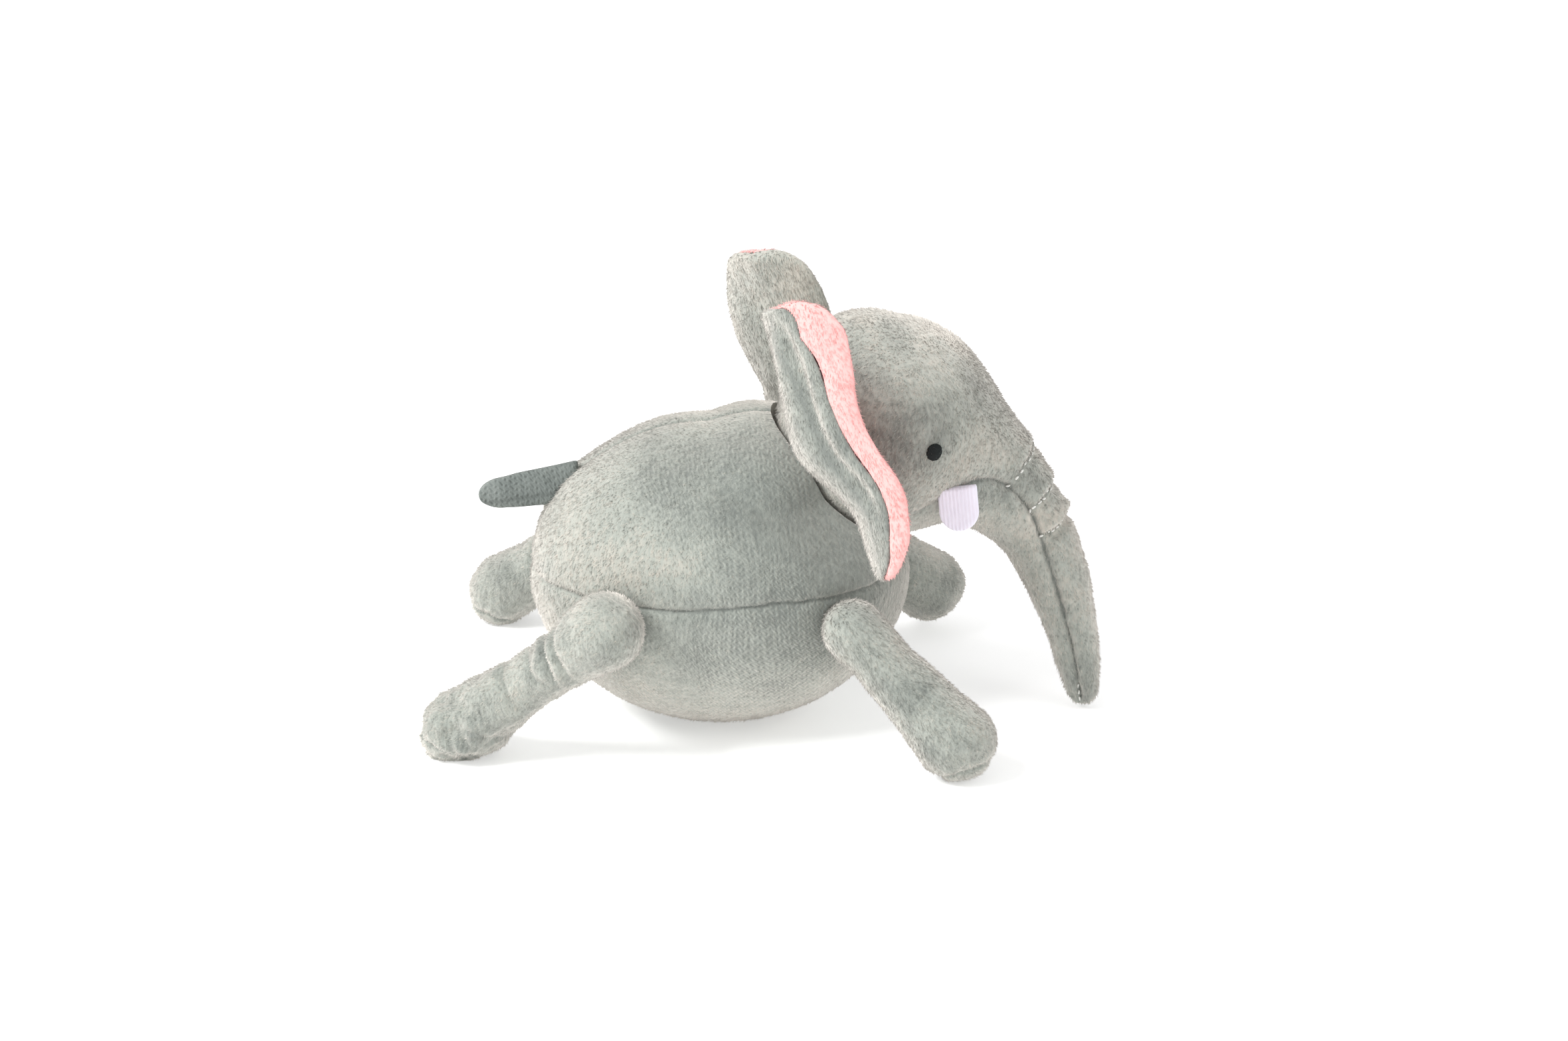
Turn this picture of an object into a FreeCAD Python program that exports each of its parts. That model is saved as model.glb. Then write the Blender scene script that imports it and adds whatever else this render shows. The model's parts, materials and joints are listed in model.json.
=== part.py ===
import FreeCAD, Part
import math
import os

import Sketcher
from FreeCAD import Matrix, Placement, Rotation, Vector

# A stuffed plush elephant that lies on its round belly with its four legs spread.
# It faces +X, its right side is -Y and up is +Z. The origin is the middle of the flat
# patch of its belly, on the surface that it lies on. All lengths are in millimetres and
# all angles in degrees.

doc = FreeCAD.newDocument("stuffed_elephant")
sheet = doc.addObject("Spreadsheet::Sheet", "Sizes")

driving_sizes = {
    # Cloth, filling and the play at the sewn joints
    "cover_thickness": 1.5,
    "fill_gap": 0.3,
    "joint_gap": 0.4,
    "trim_gap": 0.12,
    # Torso, an egg that lies along X
    "torso_half_length": 58,
    "torso_half_width": 47,
    "torso_half_height": 48,
    "torso_centre_height": 46.5,
    "side_seam_height": 50,
    # Head, a ball that sits in the hollow of the neck, and the muzzle in front of it
    "head_radius": 34,
    "head_forward": 50,
    "head_height": 92,
    "muzzle_back_forward": 58,
    "muzzle_back_height": 90,
    "muzzle_back_inset": 3,
    "muzzle_middle_forward": 77,
    "muzzle_middle_height": 82,
    "muzzle_middle_radius": 22,
    "trunk_socket_lip": 0.7,
    # Trunk, from its ball end under the last crease down to the tip
    "trunk_ball_radius": 13.5,
    "trunk_ball_forward": 93,
    "trunk_ball_height": 62,
    "trunk_socket_depth": 8,
    "trunk_root_inset": 0.9,
    "trunk_upper_forward": 101,
    "trunk_upper_height": 45,
    "trunk_upper_radius": 10.9,
    "trunk_middle_forward": 106,
    "trunk_middle_height": 29,
    "trunk_middle_radius": 8.7,
    "trunk_lower_forward": 109.8,
    "trunk_lower_height": 14,
    "trunk_lower_radius": 7.3,
    "trunk_tip_forward": 111.4,
    "trunk_tip_radius": 5.6,
    "trunk_end_radius": 3.4,
    "trunk_floor_gap": 0.5,
    # Ears
    "ear_half_height": 41,
    "ear_half_width": 24,
    "ear_half_thickness": 4,
    "ear_root_gap": 0.9,
    "ear_root_back": 21.4,
    "ear_root_rise": 8.3,
    "ear_tilt": 24,
    "right_ear_sweep": -10,
    "left_ear_sweep": 35,
    # Eyes and tusks
    "eye_half_width": 2.6,
    "eye_half_thickness": 1,
    "eye_forward": 23.2,
    "eye_rise": 2,
    "tusk_width": 12,
    "tusk_length": 14,
    "tusk_thickness": 3,
    "tusk_edge_round": 1.2,
    "tusk_forward": 70,
    "tusk_side": 25.2,
    "tusk_top_height": 80.5,
    # Front legs: ball at the shoulder, waist above the foot, foot ball
    "front_root_radius": 9.7,
    "front_waist_radius": 9.4,
    "front_waist_place": 20,
    "front_foot_radius": 12.2,
    "front_leg_length": 44,
    "front_root_station": 35.5,
    "front_root_rise": -5,
    "front_root_sink": 2,
    "right_front_splay": 19,
    "left_front_splay": 42,
    # Hind legs: ball at the hip, waist at the knee, foot ball
    "hind_root_radius": 12,
    "hind_waist_radius": 8.6,
    "hind_waist_place": 25,
    "hind_foot_radius": 11.5,
    "hind_leg_length": 55,
    "hind_root_station": -28,
    "hind_root_rise": -1,
    "hind_root_sink": 0.6,
    "right_hind_splay": -19,
    "left_hind_splay": 30,
    "sole_depth": 6.5,
    "left_foot_lift": 3,
    # Tail, a flat tab of two layers
    "tail_length": 26,
    "tail_tuck": 9,
    "tail_width": 11.5,
    "tail_thickness": 3.4,
    "tail_edge_round": 1.2,
    "tail_root_gap": 0.8,
    "tail_root_station": -46.5,
    "tail_droop": 16,
    # Top stitches over the three creases
    "stitch_length": 1.5,
    "stitch_radius": 0.25,
    "stitch_pitch": 2.1,
    "stitch_count": 9,
    "second_crease_place": 11,
}

for row, (alias, number) in enumerate(driving_sizes.items(), start=1):
    sheet.set(f"A{row}", alias.replace("_", " "))
    sheet.set(f"B{row}", str(number))
    sheet.setAlias(f"B{row}", alias)
doc.recompute()

QUARTER_TURN = 90
FULL_TURN = 360
RIGHT = -1
LEFT = 1
SIDES = {"right": RIGHT, "left": LEFT}
nodes = []


def size(alias):
    """The value of one driving size."""
    return float(sheet.get(alias))


def shrunk(alias, inset, outset=()):
    """The expression of a size less the named insets, and more by the named outsets."""
    less = "".join(f" - Sizes.{name}" for name in inset)
    more = "".join(f" + Sizes.{name}" for name in outset)
    return f"Sizes.{alias}{less}{more}"


def total(inset):
    """The insets of shrunk, added up."""
    return sum(size(name) for name in inset)


def node(shape_object, name):
    """Names a finished sub-part and puts it on the list of those that are written."""
    shape_object.Label = name
    nodes.append(shape_object)
    return shape_object


def turned(forward, up):
    """The rotation that takes X to forward and Z to up."""
    across = up.cross(forward)
    columns = [forward, across, up]
    rows = [[column[i] for column in columns] + [0] for i in range(3)]
    return Rotation(Matrix(*rows[0], *rows[1], *rows[2], 0, 0, 0, 1))


def ball(name, radius, centre):
    item = doc.addObject("Part::Sphere", name)
    item.setExpression("Radius", radius)
    item.Placement = Placement(centre, Rotation())
    return item


def egg(name, half_x, half_y, half_z, placement):
    item = doc.addObject("Part::Ellipsoid", name)
    item.setExpression("Radius1", half_z)
    item.setExpression("Radius2", half_x)
    item.setExpression("Radius3", half_y)
    item.Placement = placement
    return item


def cut(name, base, tool):
    item = doc.addObject("Part::Cut", name)
    item.Base = base
    item.Tool = tool
    return item


def common(name, base, tool):
    item = doc.addObject("Part::Common", name)
    item.Base = base
    item.Tool = tool
    return item


def fuse(name, shapes):
    item = doc.addObject("Part::MultiFuse", name)
    item.Shapes = shapes
    return item


# The side of the blocks that cut a form in two, longer than the whole toy.
HALF_SPACE = 400


def half_space(name, point, normal):
    """A block whose one face passes through point, on the side that normal points to."""
    item = doc.addObject("Part::Box", name)
    item.Length = item.Width = item.Height = HALF_SPACE
    turn = Rotation(Vector(0, 0, 1), normal)
    corner = turn.multVec(Vector(-HALF_SPACE / 2, -HALF_SPACE / 2, 0))
    item.Placement = Placement(point + corner, turn)
    return item


COVER = ["cover_thickness"]
FILL = ["cover_thickness", "fill_gap"]

# ---------------------------------------------------------------- places that others use
torso_centre = Vector(0, 0, size("torso_centre_height"))
head_centre = Vector(size("head_forward"), 0, size("head_height"))
trunk_ball_centre = Vector(size("trunk_ball_forward"), 0, size("trunk_ball_height"))


def torso_surface(station, rise, side):
    """A point of the torso's skin and the outward direction there.

    station is along X, and rise is the angle above the torso's own axis."""
    belt = math.sqrt(1 - (station / size("torso_half_length")) ** 2)
    across = belt * size("torso_half_width") * math.cos(math.radians(rise)) * side
    above = belt * size("torso_half_height") * math.sin(math.radians(rise))
    outward = Vector(
        station / size("torso_half_length") ** 2,
        across / size("torso_half_width") ** 2,
        above / size("torso_half_height") ** 2,
    )
    return torso_centre + Vector(station, across, above), outward.normalize()


def leg_places(pair, side_name):
    """The centres of a leg's root ball and foot ball.

    The foot's height is set by what it stands on, and the leg's length by its cloth."""
    side = SIDES[side_name]
    skin, outward = torso_surface(size(f"{pair}_root_station"), size(f"{pair}_root_rise"), side)
    root = skin + outward * (size(f"{pair}_root_radius") - size(f"{pair}_root_sink"))
    lift = size("left_foot_lift") if side == LEFT else 0
    drop = root.z - size(f"{pair}_foot_radius") - lift
    reach = math.sqrt(size(f"{pair}_leg_length") ** 2 - drop ** 2)
    splay = math.radians(size(f"{side_name}_{pair}_splay"))
    ahead = 1 if pair == "front" else -1
    foot = root + Vector(ahead * reach * math.cos(splay), side * reach * math.sin(splay), -drop)
    return root, foot


LEGS = [(pair, side_name) for pair in ("front", "hind") for side_name in SIDES]
leg_centres = {leg: leg_places(*leg) for leg in LEGS}


# ------------------------------------------------------------------------------- torso
def torso_form(name, inset, floor):
    """The torso's egg, flat where it lies, with hollows for the head and the legs."""
    egg_form = egg(
        f"{name}_egg",
        shrunk("torso_half_length", inset),
        shrunk("torso_half_width", inset),
        shrunk("torso_half_height", inset),
        Placement(torso_centre, Rotation()),
    )
    below = half_space(f"{name}_floor", Vector(0, 0, floor), Vector(0, 0, -1))
    return cut(name, egg_form, below)


hollows = [ball("neck_hollow", "Sizes.head_radius + Sizes.joint_gap", head_centre)]
for pair, side_name in LEGS:
    hollow_radius = f"Sizes.{pair}_root_radius + Sizes.joint_gap"
    hollows.append(ball(f"{side_name}_{pair}_hollow", hollow_radius, leg_centres[pair, side_name][0]))
torso_hollows = fuse("torso_hollows", hollows)

torso_outside = torso_form("torso_outside", [], 0)
torso_inside = torso_form("torso_inside", COVER, size("cover_thickness"))
torso_filling = torso_form("torso_filling", FILL, total(FILL))
torso_shell = cut("torso_shell", torso_outside, torso_inside)
torso_cover = cut("torso_cover", torso_shell, torso_hollows)

side_seam = Vector(0, 0, size("side_seam_height"))
below_seam = half_space("below_side_seam", side_seam, Vector(0, 0, -1))
right_half = half_space("right_of_spine", Vector(), Vector(0, RIGHT, 0))
torso_upper = cut("torso_upper", torso_cover, below_seam)
node(common("right_side", torso_upper, right_half), "torso_upper_right_panel")
node(cut("left_side", torso_upper, right_half), "torso_upper_left_panel")
node(common("belly", torso_cover, below_seam), "torso_belly_panel")
node(cut("torso_stuffing", torso_filling, torso_hollows), "torso_stuffing")


# ---------------------------------------------------------------------- lofted sections
def station_circle(name, centre, along, radius):
    item = doc.addObject("Part::Circle", name)
    item.setExpression("Radius", radius)
    item.Placement = Placement(centre, turned(along.cross(Vector(0, 1, 0)), along))
    return item


def lofted(name, stations, inset, outset=()):
    """A smooth round form through circles, each given as centre, direction and radius."""
    circles = []
    for count, (centre, along, radius) in enumerate(stations):
        along = Vector(along).normalize()
        bound = shrunk(radius, inset, outset)
        circles.append(station_circle(f"{name}_{count}", centre, along, bound))
    item = doc.addObject("Part::Loft", name)
    item.Sections = circles
    item.Solid = True
    item.Ruled = False
    return item


def centre_of(stem):
    return Vector(size(f"{stem}_forward"), 0, size(f"{stem}_height"))


muzzle_back = centre_of("muzzle_back")
muzzle_middle = centre_of("muzzle_middle")
muzzle_run = (trunk_ball_centre - muzzle_middle).normalize()
socket_mouth = trunk_ball_centre - muzzle_run * (size("trunk_ball_radius") - size("trunk_socket_depth"))
# The muzzle starts inside the head's ball and ends in a lip round the trunk's ball, and the
# trunk's tube starts inside its own ball, so that these three follow the balls' radii.
MUZZLE_BACK_RADIUS = "head_radius - Sizes.muzzle_back_inset"
MUZZLE_END_RADIUS = "trunk_ball_radius + Sizes.trunk_socket_lip"
TRUNK_ROOT_RADIUS = "trunk_ball_radius - Sizes.trunk_root_inset"


def head_form(name, inset, outset=()):
    """The head's ball with its muzzle, as one form without the trunk's socket."""
    head_ball = ball(f"{name}_ball", shrunk("head_radius", inset, outset), head_centre)
    stations = [
        (muzzle_back, muzzle_middle - head_centre, MUZZLE_BACK_RADIUS),
        (muzzle_middle, trunk_ball_centre - muzzle_back, "muzzle_middle_radius"),
        (socket_mouth, muzzle_run, MUZZLE_END_RADIUS),
    ]
    return fuse(name, [head_ball, lofted(f"{name}_muzzle", stations, inset, outset)])


# -------------------------------------------------------------------------------- head
trunk_socket = ball("trunk_socket", "Sizes.trunk_ball_radius + Sizes.joint_gap", trunk_ball_centre)
head_outside = head_form("head_outside", [])
head_shell = cut("head_shell", head_outside, head_form("head_inside", COVER))
head_cover = cut("head_cover", head_shell, trunk_socket)

seam_run = trunk_ball_centre - head_centre
chin_side = half_space("chin_side", head_centre, seam_run.cross(Vector(0, -1, 0)))
node(cut("head_top", head_cover, chin_side), "head_top_panel")
node(common("head_chin", head_cover, chin_side), "head_chin_panel")
node(cut("head_fill", head_form("head_filling", FILL), trunk_socket), "head_stuffing")


# ------------------------------------------------------------------------------- trunk
def trunk_form(name, inset):
    """The trunk: a ball end at the crease and a tapering tube down to the tip."""
    closed = total(inset)
    upper = centre_of("trunk_upper")
    middle = centre_of("trunk_middle")
    lower = centre_of("trunk_lower")
    end_height = size("trunk_floor_gap") + closed
    tip = Vector(size("trunk_tip_forward"), 0, end_height + size("trunk_tip_radius") - closed)
    end = Vector(size("trunk_tip_forward"), 0, end_height)
    down = Vector(0, 0, -1)
    stations = [
        (trunk_ball_centre, upper - trunk_ball_centre, TRUNK_ROOT_RADIUS),
        (upper, middle - trunk_ball_centre, "trunk_upper_radius"),
        (middle, lower - upper, "trunk_middle_radius"),
        (lower, tip - middle, "trunk_lower_radius"),
        (tip, down, "trunk_tip_radius"),
        (end, down, "trunk_end_radius"),
    ]
    ball_end = ball(f"{name}_ball", shrunk("trunk_ball_radius", inset), trunk_ball_centre)
    return fuse(name, [ball_end, lofted(f"{name}_tube", stations, inset)])


trunk_outside = trunk_form("trunk_outside", [])
trunk_cover = cut("trunk_cover", trunk_outside, trunk_form("trunk_inside", COVER))
trunk_chord = Vector(size("trunk_tip_forward"), 0, 0) - trunk_ball_centre
under_side = half_space("under_side", trunk_ball_centre, trunk_chord.cross(Vector(0, -1, 0)))
node(cut("trunk_top", trunk_cover, under_side), "trunk_top_panel")
node(common("trunk_under", trunk_cover, under_side), "trunk_under_panel")
node(trunk_form("trunk_filling", FILL), "trunk_stuffing")


# -------------------------------------------------------------------------------- ears
def ear_frame(side_name):
    """Where an ear is sewn on, and its directions: up its seam, outward and forward."""
    side = SIDES[side_name]
    back = math.radians(size("ear_root_back"))
    rise = math.radians(size("ear_root_rise"))
    normal = Vector(-math.sin(back) * math.cos(rise), side * math.cos(back) * math.cos(rise), math.sin(rise))
    up = Vector(math.sin(back) * math.sin(rise), -side * math.cos(back) * math.sin(rise), math.cos(rise))
    up = Rotation(normal, -side * size("ear_tilt")).multVec(up)
    outward = Rotation(up, side * size(f"{side_name}_ear_sweep")).multVec(normal)
    seat = head_centre + normal * size("head_radius")
    forward = outward.cross(up) * side
    return seat, up, outward, forward


ear_relief = ball("ear_relief", "Sizes.head_radius + Sizes.ear_root_gap", head_centre)
for side_name in SIDES:
    seat, up, outward, forward = ear_frame(side_name)
    centre = seat + outward * (size("ear_half_width") - size("ear_root_gap"))
    pad = egg(
        f"{side_name}_ear_pad",
        "Sizes.ear_half_thickness",
        "Sizes.ear_half_width",
        "Sizes.ear_half_height",
        Placement(centre, turned(forward, up)),
    )
    trimmed = cut(f"{side_name}_ear", pad, ear_relief)
    front = half_space(f"{side_name}_ear_front", centre, forward)
    node(common(f"{side_name}_lining", trimmed, front), f"{side_name}_ear_lining")
    node(cut(f"{side_name}_back", trimmed, front), f"{side_name}_ear_back_panel")

# ---------------------------------------------------------------------- eyes and tusks
eye_seat = ball("eye_seat", "Sizes.head_radius + Sizes.trim_gap", head_centre)
for side_name, side in SIDES.items():
    turn = math.radians(size("eye_forward"))
    rise = math.radians(size("eye_rise"))
    look = Vector(math.sin(turn) * math.cos(rise), side * math.cos(turn) * math.cos(rise), math.sin(rise))
    eye_place = head_centre + look * (size("head_radius") + size("trim_gap"))
    dome = egg(
        f"{side_name}_eye_dome",
        "Sizes.eye_half_width",
        "Sizes.eye_half_width",
        "Sizes.eye_half_thickness",
        Placement(eye_place, Rotation(Vector(0, 0, 1), look)),
    )
    node(cut(f"{side_name}_eye_patch", dome, eye_seat), f"{side_name}_eye")


# An edge that is thinner than this lies in one flat face.
FLAT_LIMIT = 1e-4


def plane_of(body, role):
    """One of a body's own origin planes."""
    return next(item for item in body.Origin.OriginFeatures if item.Role == role)


def add_sketch(body, name, role):
    sketch = body.newObject("Sketcher::SketchObject", name)
    sketch.AttachmentSupport = (plane_of(body, role), "")
    sketch.MapMode = "FlatFace"
    return sketch


def tab_body(name, kind, length):
    """A flat tab with a round end: it hangs down -Z from the origin and is thick along Y.

    kind begins the names of its width, thickness and edge rounding, and the sizes named in
    length add up to its whole length."""
    body = doc.addObject("PartDesign::Body", name)
    sketch = add_sketch(body, f"{name}_outline", "XZ_Plane")
    half = size(f"{kind}_width") / 2
    corner = half - sum(size(alias) for alias in length)
    sketch.addGeometry(Part.LineSegment(Vector(-half, 0, 0), Vector(half, 0, 0)))
    sketch.addGeometry(Part.LineSegment(Vector(half, 0, 0), Vector(half, corner, 0)))
    tip = Part.Circle(Vector(0, corner, 0), Vector(0, 0, 1), half)
    sketch.addGeometry(Part.ArcOfCircle(tip, math.pi, 2 * math.pi))
    sketch.addGeometry(Part.LineSegment(Vector(-half, corner, 0), Vector(-half, 0, 0)))
    for first, first_end, second, second_end in ((0, 2, 1, 1), (3, 2, 0, 1)):
        sketch.addConstraint(Sketcher.Constraint("Coincident", first, first_end, second, second_end))
    sketch.addConstraint(Sketcher.Constraint("Tangent", 1, 2, 2, 2))
    sketch.addConstraint(Sketcher.Constraint("Tangent", 2, 1, 3, 1))
    sketch.addConstraint(Sketcher.Constraint("Horizontal", 0))
    sketch.addConstraint(Sketcher.Constraint("Vertical", 1))
    sketch.addConstraint(Sketcher.Constraint("Vertical", 3))
    sketch.addConstraint(Sketcher.Constraint("Symmetric", 0, 1, 0, 2, -1, 1))
    across = sketch.addConstraint(Sketcher.Constraint("DistanceX", 0, 1, 0, 2, 2 * half))
    straight = sketch.addConstraint(Sketcher.Constraint("DistanceY", 1, 2, 1, 1, -corner))
    whole_length = " + ".join(f"Sizes.{alias}" for alias in length)
    sketch.setExpression(f"Constraints[{across}]", f"Sizes.{kind}_width")
    sketch.setExpression(f"Constraints[{straight}]", f"{whole_length} - Sizes.{kind}_width / 2")
    pad = body.newObject("PartDesign::Pad", f"{name}_pad")
    pad.Profile = sketch
    pad.Midplane = True
    pad.setExpression("Length", f"Sizes.{kind}_thickness")
    doc.recompute()
    rims = [
        f"Edge{count}"
        for count, edge in enumerate(pad.Shape.Edges, start=1)
        if edge.BoundBox.YLength < FLAT_LIMIT
    ]
    rounding = body.newObject("PartDesign::Fillet", f"{name}_rounding")
    rounding.Base = (pad, rims)
    rounding.setExpression("Radius", f"Sizes.{kind}_edge_round")
    body.Tip = rounding
    return body


tusk_clear = head_form("tusk_clear", [], ["trim_gap"])
for side_name, side in SIDES.items():
    tusk = tab_body(f"{side_name}_tusk_tab", "tusk", ["tusk_length"])
    top = Vector(size("tusk_forward"), side * size("tusk_side"), size("tusk_top_height"))
    tusk.Placement = Placement(top, Rotation())
    node(cut(f"{side_name}_tusk_trimmed", tusk, tusk_clear), f"{side_name}_tusk")


# -------------------------------------------------------------------------------- legs
def limb_body(name, pair, inset):
    """A stuffed leg turned about its own axis: root ball at the origin, foot ball up +Z.

    The profile is the root ball's arc, a line in to the waist, a line out and the foot's arc."""
    root_radius = size(f"{pair}_root_radius") - total(inset)
    foot_radius = size(f"{pair}_foot_radius") - total(inset)
    waist_radius = size(f"{pair}_waist_radius") - total(inset)
    waist_place = size(f"{pair}_waist_place")
    length = size(f"{pair}_leg_length")
    root_turn = math.atan2(waist_place, waist_radius) - math.acos(
        root_radius / math.hypot(waist_radius, waist_place))
    foot_turn = math.atan2(waist_place - length, waist_radius) + math.acos(
        foot_radius / math.hypot(waist_radius, length - waist_place))
    waist = Vector(waist_radius, waist_place, 0)
    foot_centre = Vector(0, length, 0)
    root_circle = Part.Circle(Vector(), Vector(0, 0, 1), root_radius)
    foot_circle = Part.Circle(foot_centre, Vector(0, 0, 1), foot_radius)
    root_arc = Part.ArcOfCircle(root_circle, -math.pi / 2, root_turn)
    foot_arc = Part.ArcOfCircle(foot_circle, foot_turn, math.pi / 2)
    body = doc.addObject("PartDesign::Body", name)
    sketch = add_sketch(body, f"{name}_profile", "XZ_Plane")
    sketch.addGeometry(root_arc)
    sketch.addGeometry(Part.LineSegment(root_arc.EndPoint, waist))
    sketch.addGeometry(Part.LineSegment(waist, foot_arc.StartPoint))
    sketch.addGeometry(foot_arc)
    sketch.addGeometry(Part.LineSegment(foot_arc.EndPoint, root_arc.StartPoint))
    sketch.addConstraint(Sketcher.Constraint("Tangent", 0, 2, 1, 1))
    sketch.addConstraint(Sketcher.Constraint("Coincident", 1, 2, 2, 1))
    sketch.addConstraint(Sketcher.Constraint("Tangent", 2, 2, 3, 1))
    sketch.addConstraint(Sketcher.Constraint("Coincident", 3, 2, 4, 1))
    sketch.addConstraint(Sketcher.Constraint("Coincident", 4, 2, 0, 1))
    sketch.addConstraint(Sketcher.Constraint("Coincident", 0, 3, -1, 1))
    sketch.addConstraint(Sketcher.Constraint("PointOnObject", 0, 1, -2))
    sketch.addConstraint(Sketcher.Constraint("PointOnObject", 3, 3, -2))
    sketch.addConstraint(Sketcher.Constraint("PointOnObject", 3, 2, -2))
    driven = [
        (Sketcher.Constraint("Radius", 0, root_radius), shrunk(f"{pair}_root_radius", inset)),
        (Sketcher.Constraint("Radius", 3, foot_radius), shrunk(f"{pair}_foot_radius", inset)),
        (Sketcher.Constraint("DistanceX", -1, 1, 1, 2, waist_radius), shrunk(f"{pair}_waist_radius", inset)),
        (Sketcher.Constraint("DistanceY", -1, 1, 1, 2, waist_place), f"Sizes.{pair}_waist_place"),
        (Sketcher.Constraint("DistanceY", -1, 1, 3, 3, length), f"Sizes.{pair}_leg_length"),
    ]
    for constraint, expression in driven:
        sketch.setExpression(f"Constraints[{sketch.addConstraint(constraint)}]", expression)
    turning = body.newObject("PartDesign::Revolution", f"{name}_turning")
    turning.Profile = sketch
    turning.ReferenceAxis = (sketch, ["V_Axis"])
    turning.Angle = FULL_TURN
    return body


for pair in ("front", "hind"):
    cover = cut(f"{pair}_leg_cover", limb_body(f"{pair}_leg_outside", pair, []),
                limb_body(f"{pair}_leg_inside", pair, COVER))
    sole_place = Vector(0, 0, size(f"{pair}_leg_length") + size("sole_depth"))
    past_sole = half_space(f"{pair}_past_sole", sole_place, Vector(0, 0, 1))
    upper_half = half_space(f"{pair}_upper_half", Vector(), Vector(1, 0, 0))
    sleeve = cut(f"{pair}_leg_sleeve", cover, past_sole)
    for side_name in SIDES:
        root, foot = leg_centres[pair, side_name]
        along = (foot - root).normalize()
        topside = (Vector(0, 0, 1) - along * along.z).normalize()
        place = Placement(root, turned(topside, along))
        leg = f"{side_name}_{pair}"
        node(common(f"{leg}_upper", sleeve, upper_half), f"{leg}_leg_upper_panel").Placement = place
        node(cut(f"{leg}_lower", sleeve, upper_half), f"{leg}_leg_lower_panel").Placement = place
        node(common(f"{leg}_cap", cover, past_sole), f"{leg}_sole").Placement = place
        node(limb_body(f"{leg}_filling", pair, FILL), f"{leg}_leg_stuffing").Placement = place

# -------------------------------------------------------------------------------- tail
tail_seat, _ = torso_surface(size("tail_root_station"), QUARTER_TURN, RIGHT)
droop = math.radians(size("tail_droop"))
tail_back = Vector(-math.cos(droop), 0, -math.sin(droop))
tail_tab = tab_body("tail_tab", "tail", ["tail_length", "tail_tuck"])
tail_up = tail_back * -1
tail_tab.Placement = Placement(tail_seat + tail_up * size("tail_tuck"),
                               turned(Vector(0, 1, 0).cross(tail_up), tail_up))
tail_clear = egg(
    "tail_clear",
    "Sizes.torso_half_length + Sizes.tail_root_gap",
    "Sizes.torso_half_width + Sizes.tail_root_gap",
    "Sizes.torso_half_height + Sizes.tail_root_gap",
    Placement(torso_centre, Rotation()),
)
tail_trimmed = cut("tail_trimmed", tail_tab, tail_clear)
node(common("tail_right", tail_trimmed, right_half), "tail_right_layer")
node(cut("tail_left", tail_trimmed, right_half), "tail_left_layer")
doc.recompute()


# ------------------------------------------------------------------------ top stitches
def stitch_row(name, form, centre, along):
    """A row of stitches over the top of form, in the plane through centre across along."""
    over = along.cross(Vector(0, 1, 0)).normalize()
    reach = Part.LineSegment(centre, centre + over * size("head_radius")).toShape()
    skin_radius = reach.common(form.Shape).Length
    ring = skin_radius + size("trim_gap") + size("stitch_radius")
    step = math.degrees(size("stitch_pitch") / ring)
    stitches = []
    for count in range(int(size("stitch_count"))):
        turn = Rotation(along, step * (count - (size("stitch_count") - 1) / 2))
        outward = turn.multVec(over)
        run = along.cross(outward).normalize()
        item = doc.addObject("Part::Cylinder", f"{name}_stitch_{count}")
        item.setExpression("Radius", "Sizes.stitch_radius")
        item.setExpression("Height", "Sizes.stitch_length")
        start = centre + outward * ring - run * (size("stitch_length") / 2)
        item.Placement = Placement(start, Rotation(Vector(0, 0, 1), run))
        stitches.append(item)
    row_of_stitches = doc.addObject("Part::Compound", name)
    row_of_stitches.Links = stitches
    return row_of_stitches


second_place = muzzle_middle + muzzle_run * size("second_crease_place")
trunk_run = (centre_of("trunk_upper") - trunk_ball_centre).normalize()
muzzle_lean = (trunk_ball_centre - muzzle_back).normalize()
node(stitch_row("first_row", head_outside, muzzle_middle, muzzle_lean), "first_crease_stitches")
node(stitch_row("second_row", head_outside, second_place, muzzle_run), "second_crease_stitches")
node(stitch_row("third_row", trunk_outside, trunk_ball_centre, trunk_run), "third_crease_stitches")

# ------------------------------------------------------------------- checks and output
doc.recompute()
for item in doc.Objects:
    if "Invalid" in item.State or "Error" in item.State:
        raise RuntimeError(f"{item.Label} failed: {item.State}")
os.makedirs("parts", exist_ok=True)
for item in nodes:
    shape = item.Shape
    if shape.isNull() or not shape.isValid():
        raise RuntimeError(f"{item.Label} has no valid shape")
    shape.exportStep(f"parts/{item.Label}.step")
    print(f"{item.Label}: {len(shape.Solids)} solid, {shape.Volume:.0f} mm3")
for (pair, side_name), (root, foot) in leg_centres.items():
    foot_place = f"foot {foot.x:.3f} {foot.y:.3f} {foot.z:.3f}"
    print(f"{side_name}_{pair} root {root.x:.3f} {root.y:.3f} {root.z:.3f} {foot_place}")
for side_name in SIDES:
    seat, up, outward, forward = ear_frame(side_name)
    print(f"{side_name} ear seat {seat.x:.3f} {seat.y:.3f} {seat.z:.3f} up {up.x:.4f} {up.y:.4f} {up.z:.4f}")
print(f"tail seat {tail_seat.x:.3f} {tail_seat.y:.3f} {tail_seat.z:.3f}")
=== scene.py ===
# %% [markdown]
# # A stuffed elephant, sewn from short plush
#
# This lesson builds a small plush elephant that lies on its round belly. The construction model
# gives the size and place of every piece, and each soft piece is then made here as what it is:
# a sewn cover, drawn tight over filling, with seams that pull in and pile that catches the light.
# All of the modelling below is in millimetres, and only the finished meshes are in metres.

# %% The frame that holds every piece
import itertools
import json
import math

import bmesh
import bpy
import numpy as np
from mathutils import Matrix, Vector


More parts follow.
